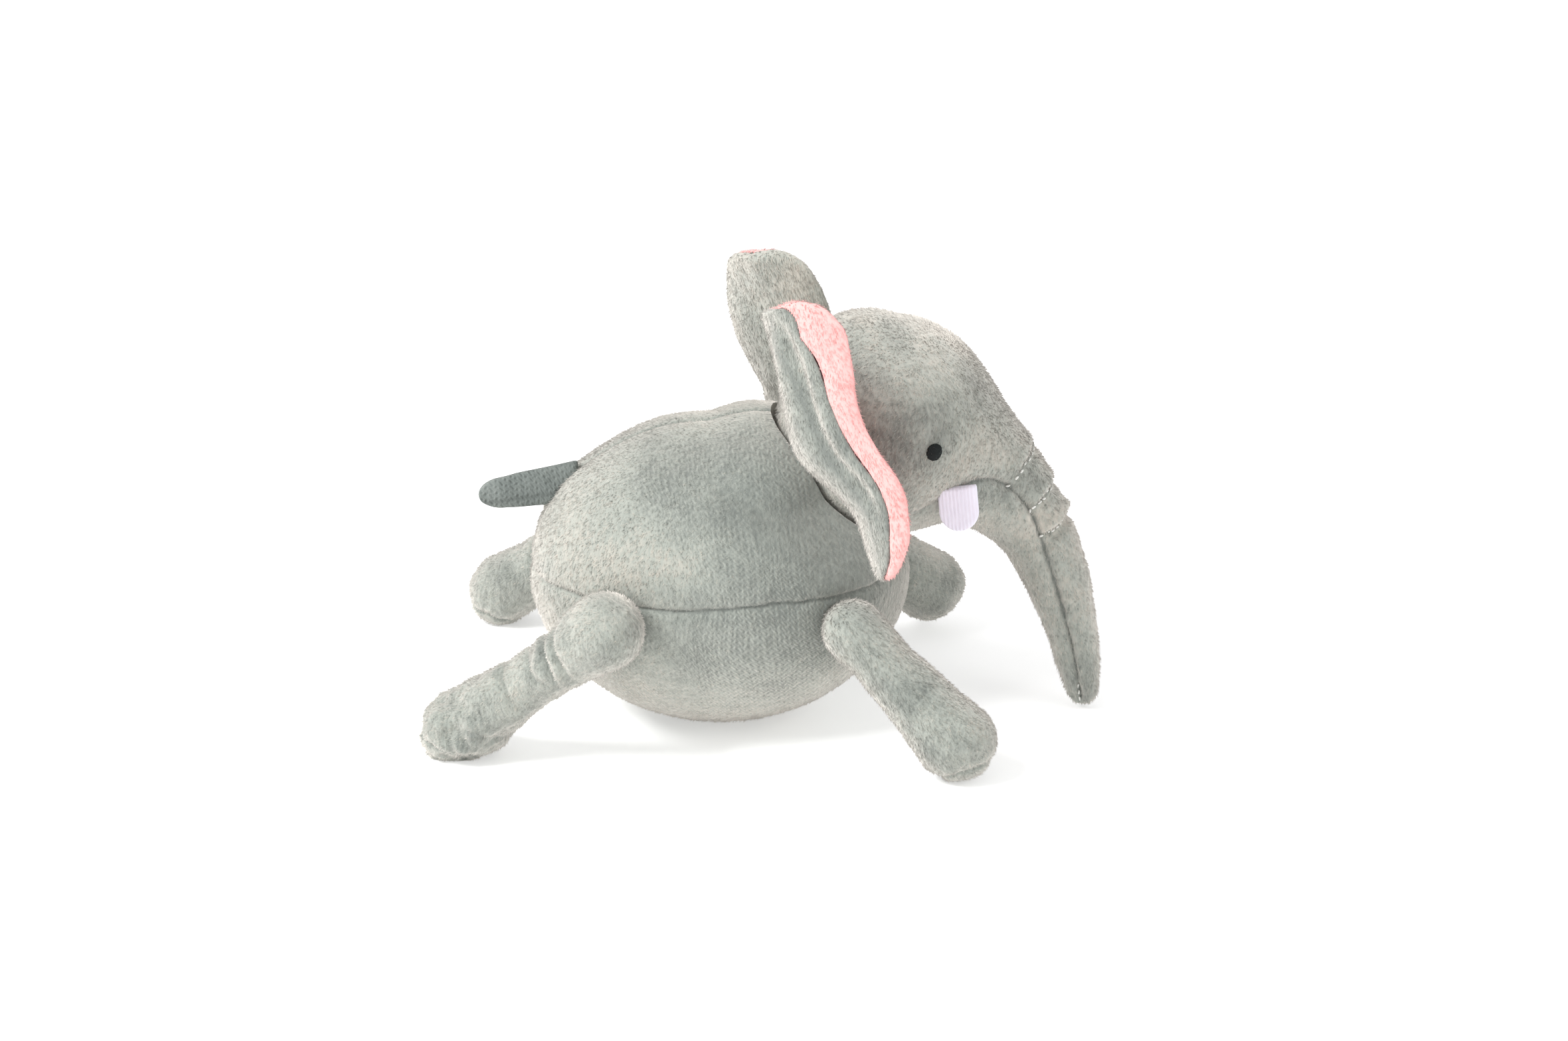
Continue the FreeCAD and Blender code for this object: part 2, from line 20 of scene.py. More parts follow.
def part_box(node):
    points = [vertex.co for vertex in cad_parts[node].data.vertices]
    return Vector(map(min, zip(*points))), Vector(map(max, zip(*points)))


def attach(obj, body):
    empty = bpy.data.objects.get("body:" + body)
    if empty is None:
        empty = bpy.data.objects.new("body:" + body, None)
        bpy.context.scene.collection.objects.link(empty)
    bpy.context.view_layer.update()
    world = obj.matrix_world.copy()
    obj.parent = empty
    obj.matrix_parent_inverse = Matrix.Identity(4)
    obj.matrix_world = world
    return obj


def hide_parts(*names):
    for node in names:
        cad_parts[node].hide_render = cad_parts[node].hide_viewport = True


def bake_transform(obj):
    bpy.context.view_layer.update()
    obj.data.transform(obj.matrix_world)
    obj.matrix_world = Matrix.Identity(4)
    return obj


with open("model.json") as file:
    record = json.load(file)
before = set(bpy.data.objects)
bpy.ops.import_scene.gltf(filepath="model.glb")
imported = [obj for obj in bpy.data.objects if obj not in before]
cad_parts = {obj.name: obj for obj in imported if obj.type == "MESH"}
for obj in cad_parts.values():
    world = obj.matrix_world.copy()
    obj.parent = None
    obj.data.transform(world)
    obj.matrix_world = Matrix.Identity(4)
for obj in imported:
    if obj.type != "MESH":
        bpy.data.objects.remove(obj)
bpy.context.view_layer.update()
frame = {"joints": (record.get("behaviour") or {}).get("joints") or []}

MM = 0.001
scene = bpy.context.scene
joints = {joint["name"]: joint for joint in frame["joints"]}

# %% [markdown]
# ## Stage, light and camera
#
# A soft toy shows its form by broad, gentle shading. One large lamp stands high on the tail's side,
# a weaker one fills the trunk's side, and a pale surround lights the rest. The floor is nearly
# white, so that only the soft shadow under the belly and the feet shows on it. The camera looks
# across the toy's right side from a little above, with a long lens that keeps the limbs in
# proportion.

# %% Camera
CAMERA_PITCH = math.radians(20)
CAMERA_DISTANCE = 1115 * MM
AIM = Vector((19.3, 0, 61)) * MM
look = Vector((0, math.cos(CAMERA_PITCH), -math.sin(CAMERA_PITCH)))
camera_data = bpy.data.cameras.new("Camera")
camera_data.lens = 85
camera_data.sensor_width = 36
camera = bpy.data.objects.new("Camera", camera_data)
camera.location = AIM - look * CAMERA_DISTANCE
camera.rotation_euler = (math.pi / 2 - CAMERA_PITCH, 0, 0)
scene.collection.objects.link(camera)
scene.camera = camera
print("camera at", [round(value, 3) for value in camera.location])

# %% The floor
scene.view_settings.view_transform = "Standard"
scene.view_settings.look = "None"
FLOOR_SIZE = 30
FLOOR_COLOUR = (0.93, 0.93, 0.93)
FLOOR_GLOW = 0.37


def principled(name, colour, roughness):
    """A new material with one Principled shader, and that shader's node."""
    material = bpy.data.materials.new(name)
    material.use_nodes = True
    shader = material.node_tree.nodes["Principled BSDF"]
    shader.inputs["Base Color"].default_value = (*colour, 1)
    shader.inputs["Roughness"].default_value = roughness
    return material, shader


bpy.ops.mesh.primitive_plane_add(size=FLOOR_SIZE, location=(0, 0, 0))
floor = bpy.context.object
floor.name = "studio_floor"
floor_material, floor_shader = principled("pale floor", FLOOR_COLOUR, 0.9)
floor_shader.inputs["Specular IOR Level"].default_value = 0
floor_shader.inputs["Emission Color"].default_value = (1, 1, 1, 1)
floor_shader.inputs["Emission Strength"].default_value = FLOOR_GLOW
floor.data.materials.append(floor_material)
print("floor", FLOOR_SIZE, "m wide")

# %% Lamps and surround
LAMPS = {  # where it hangs, what it points at, how wide it is, how strong
    "key softbox": ((-0.80, -0.50, 1.05), (0, 0, 0.05), 0.6, 20),
    "fill softbox": ((1.2, -0.7, 0.9), (0.02, 0, 0.05), 0.9, 4),
}
SURROUND_STRENGTH = 0.70


def area_lamp(name, place, aim, size, power):
    """A round soft lamp that points at a place."""
    lamp_data = bpy.data.lights.new(name, "AREA")
    lamp_data.shape = "DISK"
    lamp_data.size = size
    lamp_data.energy = power
    lamp = bpy.data.objects.new(name, lamp_data)
    lamp.location = place
    lamp.rotation_euler = (Vector(place) - Vector(aim)).to_track_quat("Z", "Y").to_euler()
    scene.collection.objects.link(lamp)


for name, settings in LAMPS.items():
    area_lamp(name, *settings)
world = bpy.data.worlds.new("surround")
world.use_nodes = True
background = world.node_tree.nodes["Background"]
background.inputs["Color"].default_value = (1, 1, 1, 1)
background.inputs["Strength"].default_value = SURROUND_STRENGTH
scene.world = world
print("lamps", list(LAMPS))

# %% [markdown]
# ## Noise that is the same on every run
#
# Cloth is never perfectly even. Small dents, puckers and clumps of pile come from one noise
# function, which mixes fixed random values at the corners of a lattice. It works on whole arrays
# of points at once, so a hundred thousand vertices take a moment.

# %% Lattice noise
HASH_X, HASH_Y, HASH_Z, HASH_SEED, HASH_STIR = 73856093, 19349663, 83492791, 2654435761, 1274126177
WORD = 0xFFFFFFFF
SHORT_WORD = 0xFFFF


def noise(points, seed=0):
    """Smooth noise from -1 to 1 at each point, with one bump to a unit."""
    corner = np.floor(points).astype(np.int64)
    part = points - corner
    part = part * part * (3 - 2 * part)
    result = np.zeros(len(points))
    for step in itertools.product((0, 1), repeat=3):
        x, y, z = (corner + step).T
        code = (x * HASH_X ^ y * HASH_Y ^ z * HASH_Z ^ seed * HASH_SEED) & WORD
        code = (code ^ (code >> 13)) * HASH_STIR & WORD
        code = (code ^ (code >> 16)) & SHORT_WORD
        share = np.prod(np.where(step, part, 1 - part), axis=1)
        result += share * (2 * code / SHORT_WORD - 1)
    return result


def layered_noise(points, seed=0, layers=3):
    """Several layers of noise, each half as large and half as strong as the one before."""
    return sum(noise(points * 2 ** layer, seed + layer) / 2 ** layer for layer in range(layers))


def smooth_step(values, low, high):
    """0 below low, 1 above high, and a smooth change between them."""
    share = np.clip((values - low) / (high - low), 0, 1)
    return share * share * (3 - 2 * share)


print("noise", np.round(noise(np.array([[0.5, 0.5, 0.5], [1.2, 3.4, 5.6]])), 3))

# %% [markdown]
# ## Padded forms from strings of beads
#
# A stuffed limb is a tube of cloth whose girth changes slowly. A string of round beads with
# smoothly changing sizes fills such a tube well, and where two tubes meet, their beads overlap.
# A voxel remesh then draws one skin over all of the beads, as the cloth lies over the filling.

# %% A smooth line
SPLINE_STEPS = 40


def spline(stations, spacing):
    """Points on a smooth line through stations (x, y, z, radius...), evenly spaced."""
    knots = np.array(stations, float)
    ends = np.vstack([2 * knots[0] - knots[1], knots, 2 * knots[-1] - knots[-2]])
    fine = []
    for before, start, end, after in zip(ends, ends[1:], ends[2:], ends[3:]):
        share = np.linspace(0, 1, SPLINE_STEPS, endpoint=False)[:, None]
        fine.append(0.5 * (2 * start + (end - before) * share
                           + (2 * before - 5 * start + 4 * end - after) * share ** 2
                           + (3 * start - before - 3 * end + after) * share ** 3))
    fine = np.vstack(fine + [knots[-1:]])
    run = np.concatenate([[0], np.cumsum(np.linalg.norm(np.diff(fine[:, :3], axis=0), axis=1))])
    places = np.linspace(0, run[-1], max(2, int(run[-1] / spacing) + 1))
    return np.column_stack([np.interp(places, run, column) for column in fine.T])


print("points on a bend", len(spline([(0, 0, 0), (5, 0, 5), (10, 0, 0)], 1)))

# %% Objects and modifiers
def new_piece(name, mesh):
    """An object at the origin, whose place is in its mesh."""
    piece = bpy.data.objects.new(name, mesh)
    scene.collection.objects.link(piece)
    return piece


def piece_of(name, shape):
    """A new object made of a finished bmesh."""
    mesh = bpy.data.meshes.new(name)
    shape.to_mesh(mesh)
    shape.free()
    return new_piece(name, mesh)


def only(piece):
    """Selects one piece and nothing else."""
    bpy.ops.object.select_all(action="DESELECT")
    piece.select_set(True)
    bpy.context.view_layer.objects.active = piece


def apply_modifier(piece, kind, **settings):
    """Adds a modifier with these settings and applies it."""
    only(piece)
    modifier = piece.modifiers.new(kind.title(), kind)
    for key, value in settings.items():
        setattr(modifier, key, value)
    bpy.ops.object.modifier_apply(modifier=modifier.name)


# %% Beads and their skin
BEAD_ROUNDNESS = 4


def beaded_form(name, beads, voxel, smoothing):
    """One closed skin over beads, each (x, y, z, half_x, half_y, half_z) in millimetres."""
    shape = bmesh.new()
    for bead in beads:
        centre, halves = Vector(bead[:3]) * MM, Vector(bead[3:6]) * MM
        place = Matrix.Translation(centre) @ Matrix.Diagonal((*halves, 1))
        bmesh.ops.create_icosphere(shape, subdivisions=BEAD_ROUNDNESS, radius=1, matrix=place)
    piece = piece_of(name, shape)
    apply_modifier(piece, "REMESH", mode="VOXEL", voxel_size=voxel * MM)
    apply_modifier(piece, "SMOOTH", factor=0.5, iterations=smoothing)
    print(f"{name}: {len(beads)} beads, {len(piece.data.vertices)} vertices")
    return piece


# %% Reading and moving the vertices
def coordinates(piece):
    """The vertices of a piece in millimetres."""
    flat = np.empty(len(piece.data.vertices) * 3)
    piece.data.vertices.foreach_get("co", flat)
    return flat.reshape(-1, 3) / MM


def move_to(piece, points):
    """Puts the vertices of a piece at these points, in millimetres."""
    piece.data.vertices.foreach_set("co", (points * MM).ravel())
    piece.data.update()


def normals(piece):
    """The outward direction at each vertex of a piece."""
    flat = np.empty(len(piece.data.vertices) * 3)
    piece.data.vertices.foreach_get("normal", flat)
    return flat.reshape(-1, 3)


# %% [markdown]
# ## Filling the covers
#
# The covers are blown up by the cloth simulation, as filling does: a pressure from inside pushes
# every panel out, while the seams, which are held, stay in. The push is capped, so that a piece
# keeps its size. A piece starts a little slack for it. One subdivision then rounds the cloth.

# %% Cloth under pressure
CLOTH_FRAMES = 20
CLOTH_QUALITY = 6
CLOTH_MASS = 0.02
CLOTH_STIFFNESS = 6
CLOTH_BENDING = 0.05
FILLING_PRESSURE = 4
LEAST_HOLD = 0.05


def add_filling(piece, held):
    """A cloth modifier that blows a piece up; held gives from 0 to 1 how firmly seams stay."""
    only(piece)
    cloth = piece.modifiers.new("Filling", "CLOTH")
    settings = cloth.settings
    settings.quality = CLOTH_QUALITY
    settings.mass = CLOTH_MASS
    settings.tension_stiffness = settings.compression_stiffness = CLOTH_STIFFNESS
    settings.bending_stiffness = CLOTH_BENDING
    settings.use_pressure = True
    settings.uniform_pressure_force = FILLING_PRESSURE
    settings.effector_weights.gravity = 0
    group = piece.vertex_groups.new(name="seams")
    for index in np.nonzero(held > LEAST_HOLD)[0]:
        group.add([int(index)], float(held[index]), "REPLACE")
    settings.vertex_group_mass = "seams"
    cloth.point_cache.frame_start = 1
    cloth.point_cache.frame_end = CLOTH_FRAMES
    return cloth


def fill_cover(piece, cap, held):
    """Puffs a cover up by at most cap millimetres, between the seams that are held."""
    start = coordinates(piece)
    cloth = add_filling(piece, held)
    for number in range(1, CLOTH_FRAMES + 1):
        scene.frame_set(number)
    filled = piece.evaluated_get(bpy.context.evaluated_depsgraph_get()).to_mesh()
    flat = np.empty(len(filled.vertices) * 3)
    filled.vertices.foreach_get("co", flat)
    push = flat.reshape(-1, 3) / MM - start
    length = np.linalg.norm(push, axis=1)
    piece.modifiers.remove(cloth)
    piece.vertex_groups.clear()
    scene.frame_set(1)
    far = length.max()
    push *= (np.minimum(length, cap) / np.maximum(length, 1e-9))[:, None]
    move_to(piece, start + push)
    print(f"{piece.name}: pushed up to {far:.1f} mm, kept {cap} mm")


# %% [markdown]
# ## Seams, tucks and dents
#
# A seam is a narrow, dark valley with a wider, shallow one round it, and it puckers a little from
# stitch to stitch. Each helper below gives a depth for every vertex from its distance to the seam.
# The narrow part is also kept as the vertex attribute `crease`, which the plush material darkens as painted
# shade in the valley.

# %% Valleys
def valley(distance, width):
    """1 in the middle of a valley, falling smoothly to 0 about twice its width away."""
    return np.exp(-(distance / width) ** 2)


def sink(piece, depth):
    """Moves the surface in along its normals, by a depth for each vertex."""
    move_to(piece, coordinates(piece) - normals(piece) * depth[:, None])


def line_distance(points, route):
    """How far each point is from a polyline, and how far along it the nearest place is."""
    best = np.full(len(points), np.inf)
    along = np.zeros(len(points))
    travelled = 0
    route = np.array(route, float)
    for start, end in zip(route, route[1:]):
        span = end - start
        length = np.linalg.norm(span)
        share = np.clip((points - start) @ span / length ** 2, 0, 1)
        distance = np.linalg.norm(points - start - share[:, None] * span, axis=1)
        nearer = distance < best
        best[nearer] = distance[nearer]
        along[nearer] = travelled + share[nearer] * length
        travelled += length
    return best, along


def set_attribute(piece, name, values):
    """Stores a number or a vector for each vertex."""
    kind = "FLOAT" if values.ndim == 1 else "FLOAT_VECTOR"
    attribute = piece.data.attributes.new(name, kind, "POINT")
    attribute.data.foreach_set("value" if kind == "FLOAT" else "vector", values.ravel())


# %% [markdown]
# ## Places from the frame
#
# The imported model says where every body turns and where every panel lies, so the soft covers are
# built on those places. The joints give the centres of the head, the trunk's root and the legs'
# roots, and the boxes of the panels give the feet, the eyes and the tusks.

# %% Reading places
HEAD_RADIUS = 34
TORSO_HALF_HEIGHT = 48
UP = np.array([0.0, 0.0, 1.0])
SIDES = {"right": -1, "left": 1}


def joint_place(name):
    """Where a joint is, in millimetres."""
    return np.array(joints[name]["pos_m"]) / MM


def joint_axis(name):
    """The direction of a joint's axis."""
    axis = np.array(joints[name]["axis"], float)
    return axis / np.linalg.norm(axis)


def span(*nodes):
    """The lowest and highest corner round some CAD nodes, in millimetres."""
    corners = np.array([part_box(node) for node in nodes]) / MM
    return corners[:, 0].min(axis=0), corners[:, 1].max(axis=0)


head_place = joint_place("head_nod")
_, torso_high = span("torso_upper_right_panel", "torso_upper_left_panel", "torso_belly_panel")
torso_place = np.array([0, 0, torso_high[2] - TORSO_HALF_HEIGHT])
torso_halves = np.array([torso_high[0], torso_high[1], TORSO_HALF_HEIGHT])
side_seam_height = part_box("torso_belly_panel")[1][2] / MM
print("torso", torso_place, torso_halves, "side seam at", round(side_seam_height, 1))

# %% The legs' two ends
LEG_SIZES = {  # root radius, waist radius, foot radius, where the waist is
    "front": (9.7, 9.4, 12.2, 0.45),
    "hind": (12.0, 8.7, 11.5, 0.46),
}
LEG_LENGTHS = {"front": 44, "hind": 55}
TURNED_IN = ["right_hind"]  # the foot that lies nearer the middle than its leg's root
FOOT_SETTLES = {"left_hind": np.array([1.5, -3.0, -2.6])}  # the filling lets this foot lie down
legs = {}
root_reach = {}
for pair, side_name in itertools.product(LEG_SIZES, SIDES):
    stem = f"{side_name}_{pair}"
    root_radius, _, foot_radius, _ = LEG_SIZES[pair]
    low, high = span(f"{stem}_leg_upper_panel", f"{stem}_leg_lower_panel", f"{stem}_sole")
    root = joint_place(f"{stem}_leg_swing")
    x = high[0] - foot_radius if pair == "front" else low[0] + foot_radius
    z = low[2] + foot_radius
    across = math.sqrt(LEG_LENGTHS[pair] ** 2 - (x - root[0]) ** 2 - (z - root[2]) ** 2)
    way = SIDES[side_name] * (-1 if stem in TURNED_IN else 1)
    legs[stem] = (root, np.array([x, root[1] + way * across, z]) + FOOT_SETTLES.get(stem, 0))
    root_reach[stem] = root_radius
    print(stem, "root", np.round(legs[stem][0], 1), "foot", np.round(legs[stem][1], 1))

# %% [markdown]
# ## Finishing a cover
#
# Every padded cover goes through the same steps: its skin is filled by the cloth simulation, it
# gets one subdivision, and then the seams, the creases and the uneven nap are pressed into it.
# The nap is a fine relief that is stretched the way the pile lies. After that the cover is given
# its material and its place in the moving model.

# %% Helpers for the finished covers
NAP_LENGTH, NAP_WIDTH = 3.2, 1.1


def subdivide(piece):
    """Splits every face in four and rounds the cloth."""
    apply_modifier(piece, "SUBSURF", levels=1, render_levels=1)


def beyond(points, centre, radius):
    """How far each point is outside a ball."""
    return np.linalg.norm(points - centre, axis=1) - radius


def keep_out_of(points, centre, radius):
    """Moves points that lie inside a ball out to its surface."""
    away = points - centre
    distance = np.linalg.norm(away, axis=1)
    inside = distance < radius
    points[inside] = centre + away[inside] * (radius / distance[inside])[:, None]
    return points


def nap_relief(points, lie, seed):
    """A fine relief, stretched along the direction in which the pile lies."""
    lie = lie / np.linalg.norm(lie)
    along = points @ lie
    stretched = points / NAP_WIDTH + np.outer(along * (1 / NAP_LENGTH - 1 / NAP_WIDTH), lie)
    return noise(stretched, seed) + 0.5 * noise(stretched * 2.1, seed + 1)


def finish_cover(piece, crease, tone, knit=0.0):
    """Smooth shading, and the maps that the plush material reads."""
    # crease holds painted shade in seams, folds and hollows; tone holds the pile's uneven tone and, on some
    # covers, painted light and shade
    set_attribute(piece, "crease", np.clip(crease, 0, 1))
    set_attribute(piece, "tone", np.clip(tone, 0, 1))
    set_attribute(piece, "knit", np.clip(knit + np.zeros(len(crease)), 0, 1))
    only(piece)
    bpy.ops.object.shade_smooth()
    print(f"{piece.name}: {len(piece.data.polygons)} faces")


# %% [markdown]
# ## The torso
#
# The torso is an egg of three panels: two meet in the spine seam on top, and the belly panel is
# sewn to both along the sides. The egg rests on the floor on a small flat patch, and the head and
# the legs press hollows into it. The seams hold the cloth in while the filling pushes it out, so
# the panels bulge a little between them.

# %% Torso cover
TORSO_SLACK = 0.8
TORSO_PUFF = 1.1
TORSO_VOXEL = 1.4
SHOULDER = (12, 0, 77, 28, 34, 19.3)  # a second, flatter bead behind the neck

torso_beads = [(*torso_place, *(torso_halves - TORSO_SLACK)), SHOULDER]
torso = beaded_form("torso_cover", torso_beads, TORSO_VOXEL, smoothing=4)


def torso_seams(points):
    """How far points are from the spine seam and from the side seam."""
    spine = np.abs(points[:, 1]) + np.maximum(0, side_seam_height - points[:, 2])
    wave = 0.5 * np.sin(points[:, 0] / 9) + 0.35 * noise(points / 4, 7)
    side = np.abs(points[:, 2] - side_seam_height + 0.2 - points[:, 0] / 40 - wave)
    return spine, side


spine, side = torso_seams(coordinates(torso))
fill_cover(torso, TORSO_PUFF, np.maximum(valley(spine, 2.5), valley(side, 2.5)))
subdivide(torso)

# %% Torso seams, dents and hollows
TORSO_PLAY = 0.5
NECK_PLAY = 0.9
FLOOR_CLEAR = 0.2
TORSO_LIE = np.array([-0.75, 0, -0.65])

points = coordinates(torso)
spine, side = torso_seams(points)
pucker = 0.5 + 0.5 * noise(points / [2.2, 2.2, 9], 11)
# painted shade: the torso is darkened along the spine and side seams, where shade falls in their valleys
torso_seam_shade = np.maximum(valley(spine, 0.6), valley(side, 0.55))
depth = 0.95 * valley(spine, 0.7) + 0.85 * valley(side, 0.6)
depth += 0.5 * valley(spine, 3.0) + (0.35 + 0.4 * pucker) * valley(side, 2.6)
depth += 0.45 * layered_noise(points / 17, 3) * smooth_step(points[:, 2], 4, 20)
depth -= 0.10 * nap_relief(points, TORSO_LIE, 21)
sink(torso, depth)
points = coordinates(torso)
keep_out_of(points, head_place, HEAD_RADIUS + NECK_PLAY)
for stem, (root, _) in legs.items():
    keep_out_of(points, root, root_reach[stem] + TORSO_PLAY)
points[:, 2] = np.maximum(points[:, 2], FLOOR_CLEAR)
move_to(torso, points)
print("torso from", points.min(axis=0).round(1), "to", points.max(axis=0).round(1))

# %% Torso tones
JOINT_SHADE_WIDTH = 2.2
NECK_SHADE_WIDTH = 27

# painted shade: the torso is darkened in a ring round the hollows where the legs and the head meet it
joint_shade = np.zeros(len(points))
for stem, (root, _) in legs.items():
    joint_shade = np.maximum(joint_shade, valley(beyond(points, root, root_reach[stem]) - 0.5, JOINT_SHADE_WIDTH))
past_head = beyond(points, head_place, HEAD_RADIUS)
joint_shade = np.maximum(joint_shade, valley(past_head - 0.4, JOINT_SHADE_WIDTH))
patches = layered_noise(points / 20, 5)
# brushed nap and painted light: lighter towards the tail and the top, partly where the pile was brushed and
# partly as painted light where the key lamp falls
brushed_and_lit = smooth_step(-points[:, 0] / 55 + (points[:, 2] - 50) / 150 + 0.30 * patches, -0.1, 1.0)
neck_shade = valley(past_head, NECK_SHADE_WIDTH)
neck_shade *= 1 - smooth_step(points[:, 2], 72, 100)
# painted light: the belly just above the floor is lighter, where light thrown up from the pale floor falls
belly_bounce_light = 1 - smooth_step(points[:, 2], 4, 30)
tone = 0.08 + 0.34 * brushed_and_lit + 0.16 * patches - 0.95 * neck_shade + 0.12 * belly_bounce_light
# painted light: the lower part of the torso is lighter too, from the same light off the floor
tone += 0.10 * (1 - smooth_step(points[:, 2], 25, 50))
knit = (1 - brushed_and_lit) * smooth_step(points[:, 2], 2, 14)
torso_shade = np.maximum(0.85 * joint_shade, 0.42 * neck_shade)
finish_cover(torso, np.maximum(torso_seam_shade, torso_shade), tone, knit)

# %% [markdown]
# ## The head and the trunk
#
# The head is nearly a ball, fuller at the back of the crown. The muzzle runs out of it and
# narrows into the trunk, which hangs down to the floor. One cover goes round all of it. A deep
# seam runs along each side, from the cheek over the tusk and down the whole trunk, and three
# short tucks cross the trunk's upper side, each closed with a row of stitches.

# %% Head and trunk form
HEAD_SLACK = 0.5
HEAD_VOXEL = 1.1
TRUNK_LINE = np.array([  # forward, height, radius, half width
    (50, 92, 33.5, 33.5),
    (58, 89, 28.4, 29.6),
    (67.5, 85.5, 22.2, 25.2),
    (81.3, 75.2, 16.9, 17.6),
    (92.6, 62.3, 12.8, 12.8),
    (101.2, 45, 10.5, 10.5),
    (106, 29, 8.5, 8.5),
    (109.6, 14, 7.0, 7.0),
    (110.8, 6.4, 5.5, 5.6),
], float)
CROWN = (44.5, 0, 101.8, 24.9, 24.9, 24.9)

line = spline(TRUNK_LINE, 1.6)
beads = [(x, 0, z, radius - HEAD_SLACK, width - HEAD_SLACK, radius - HEAD_SLACK)
         for x, z, radius, width in line]
head = beaded_form("head_and_trunk_cover", beads + [CROWN], HEAD_VOXEL, smoothing=9)

# %% The side seam
SIDE_SEAM = [  # from the cheek over the tusk to the trunk's tip, seen from the side
    (54, 0, 69.5), (63.7, 0, 75), (73, 0, 80), (79, 0, 81), (84.5, 0, 78.6), (89.5, 0, 73.6),
    (93.4, 0, 67.6), (95.7, 0, 60.9), (101.2, 0, 42.2), (106.6, 0, 21.7), (109.7, 0, 4),
]
HEAD_PUFF = 0.7


def flattened(points):
    """The points as seen from the side, on the plane through the toy's middle."""
    return points * [1, 0, 1]


def side_seam_distance(points):
    """How far points are from the side seam, and how far along it."""
    distance, along = line_distance(flattened(points), spline(SIDE_SEAM, 2)[:, :3])
    ripple = 0.45 * noise(np.column_stack([along / 2.4, points[:, 1] / 30, along * 0]), 9)
    return np.abs(distance + ripple), along


points = coordinates(head)
seam, _ = side_seam_distance(points)
fill_cover(head, HEAD_PUFF, valley(seam, 1.6) * smooth_step(np.abs(points[:, 1]), 2, 4))
subdivide(head)
points = coordinates(head)
seam, along = side_seam_distance(points)
outside = smooth_step(np.abs(points[:, 1]), 1.5, 3)
fade = smooth_step(along, 0, 9)
deep = 0.55 + 0.45 * smooth_step(along, 18, 40)
# painted shade: the head's cover is darkened along the side seam's valley
head_seam_shade = valley(seam, 0.65) * outside * fade
depth = (1.15 * valley(seam, 0.8) + 1.1 * valley(seam, 2.6)) * outside * fade * deep
depth += 0.35 * noise(points / 2.6, 37) * valley(seam, 3.5) * outside
print("the side seam is", round(along.max()), "mm long")

# %% The trunk's tucks
TUCKS = [  # place seen from the side, way of the trunk there, depth, half its turn in degrees
    ((88.2, 80.2), (0.70, -0.71), 0.8, 66),
    ((95.6, 71.0), (0.62, -0.78), 1.0, 74),
    ((101.5, 62.6), (0.50, -0.87), 1.6, 88),
]
TUCK_REACH = 30
TUCK_FADE = 25


def trunk_centre(points):
    """The nearest place of the trunk's middle line to each point."""
    middle = np.column_stack([line[:, 0], np.zeros(len(line)), line[:, 1]])
    flat = flattened(points)
    best = np.full(len(points), np.inf)
    nearest = np.zeros(len(points), int)
    for index, place in enumerate(middle):
        distance = np.linalg.norm(flat - place, axis=1)
        closer = distance < best
        best[closer] = distance[closer]
        nearest[closer] = index
    return middle[nearest]


def upright(pair):
    """A place or way given as forward and height, on the plane through the toy's middle."""
    return np.array([pair[0], 0, pair[1]])


outward = points - trunk_centre(points)
for place, run, sink_by, half_turn in TUCKS:
    offset = flattened(points) - upright(place)
    over = upright((-run[1], run[0]))
    angle = np.degrees(np.arctan2(np.abs(outward[:, 1]), flattened(outward) @ over))
    mask = 1 - smooth_step(angle, half_turn - TUCK_FADE, half_turn)
    bent = offset @ upright(run) + 0.3 * noise(points / 3, 13)
    fold = valley(bent, 0.6) + 0.9 * valley(bent - 1.6, 1.9) - 0.75 * valley(bent + 1.9, 1.8)
    depth += sink_by * fold * mask * (np.linalg.norm(offset, axis=1) < TUCK_REACH)
    # painted shade: darkened just under each tuck's fold, where its shadow falls
    head_seam_shade = np.maximum(head_seam_shade, 0.55 * valley(bent - 0.3, 0.7) * mask)
print("the tucks sink up to", round(depth.max(), 1), "mm")

# %% Dents and tones of the head
HEAD_LIE = np.array([-0.5, 0, 0.86])
SHADE_OFFSET = [12, 0, 2]  # from an ear's seat to the middle of its shade on the head

depth += 0.35 * layered_noise(points / 13, 31) * smooth_step(points[:, 0], 40, 60)
depth -= 0.09 * nap_relief(points, HEAD_LIE, 33)
sink(head, depth)
points = coordinates(head)
points[:, 2] = np.maximum(points[:, 2], FLOOR_CLEAR)
move_to(head, points)
ear_seats = [joint_place(f"{side_name}_ear_fold") for side_name in SIDES]
ear_shade = sum(valley(np.linalg.norm(points - seat - SHADE_OFFSET, axis=1), 15) for seat in ear_seats)
# painted light and shade: the head is lighter towards the top, where the lamps light it, and darker round
# each ear's seat as painted shade of the ear; the noise is the pile's own uneven tone
tone = 0.37 + (points[:, 2] - 70) / 900 + 0.34 * layered_noise(points / 13, 35) - 0.40 * ear_shade
finish_cover(head, head_seam_shade, tone)

# %% [markdown]
# ## The legs
#
# Each leg is a stuffed tube with a round upper end that is sewn to the torso and a fuller foot
# closed by a round sole. The cloth wrinkles where the tube bends over at the knee. The four legs
# come from one function, and each has its own uneven filling.

# %% Leg forms
LEG_SLACK = 0.45
LEG_VOXEL = 0.85
TOE_REACH = {"right_hind": 6.8, "left_hind": 1.0}  # how far a toe lies out past the foot
TOE_TAPER = 1.6


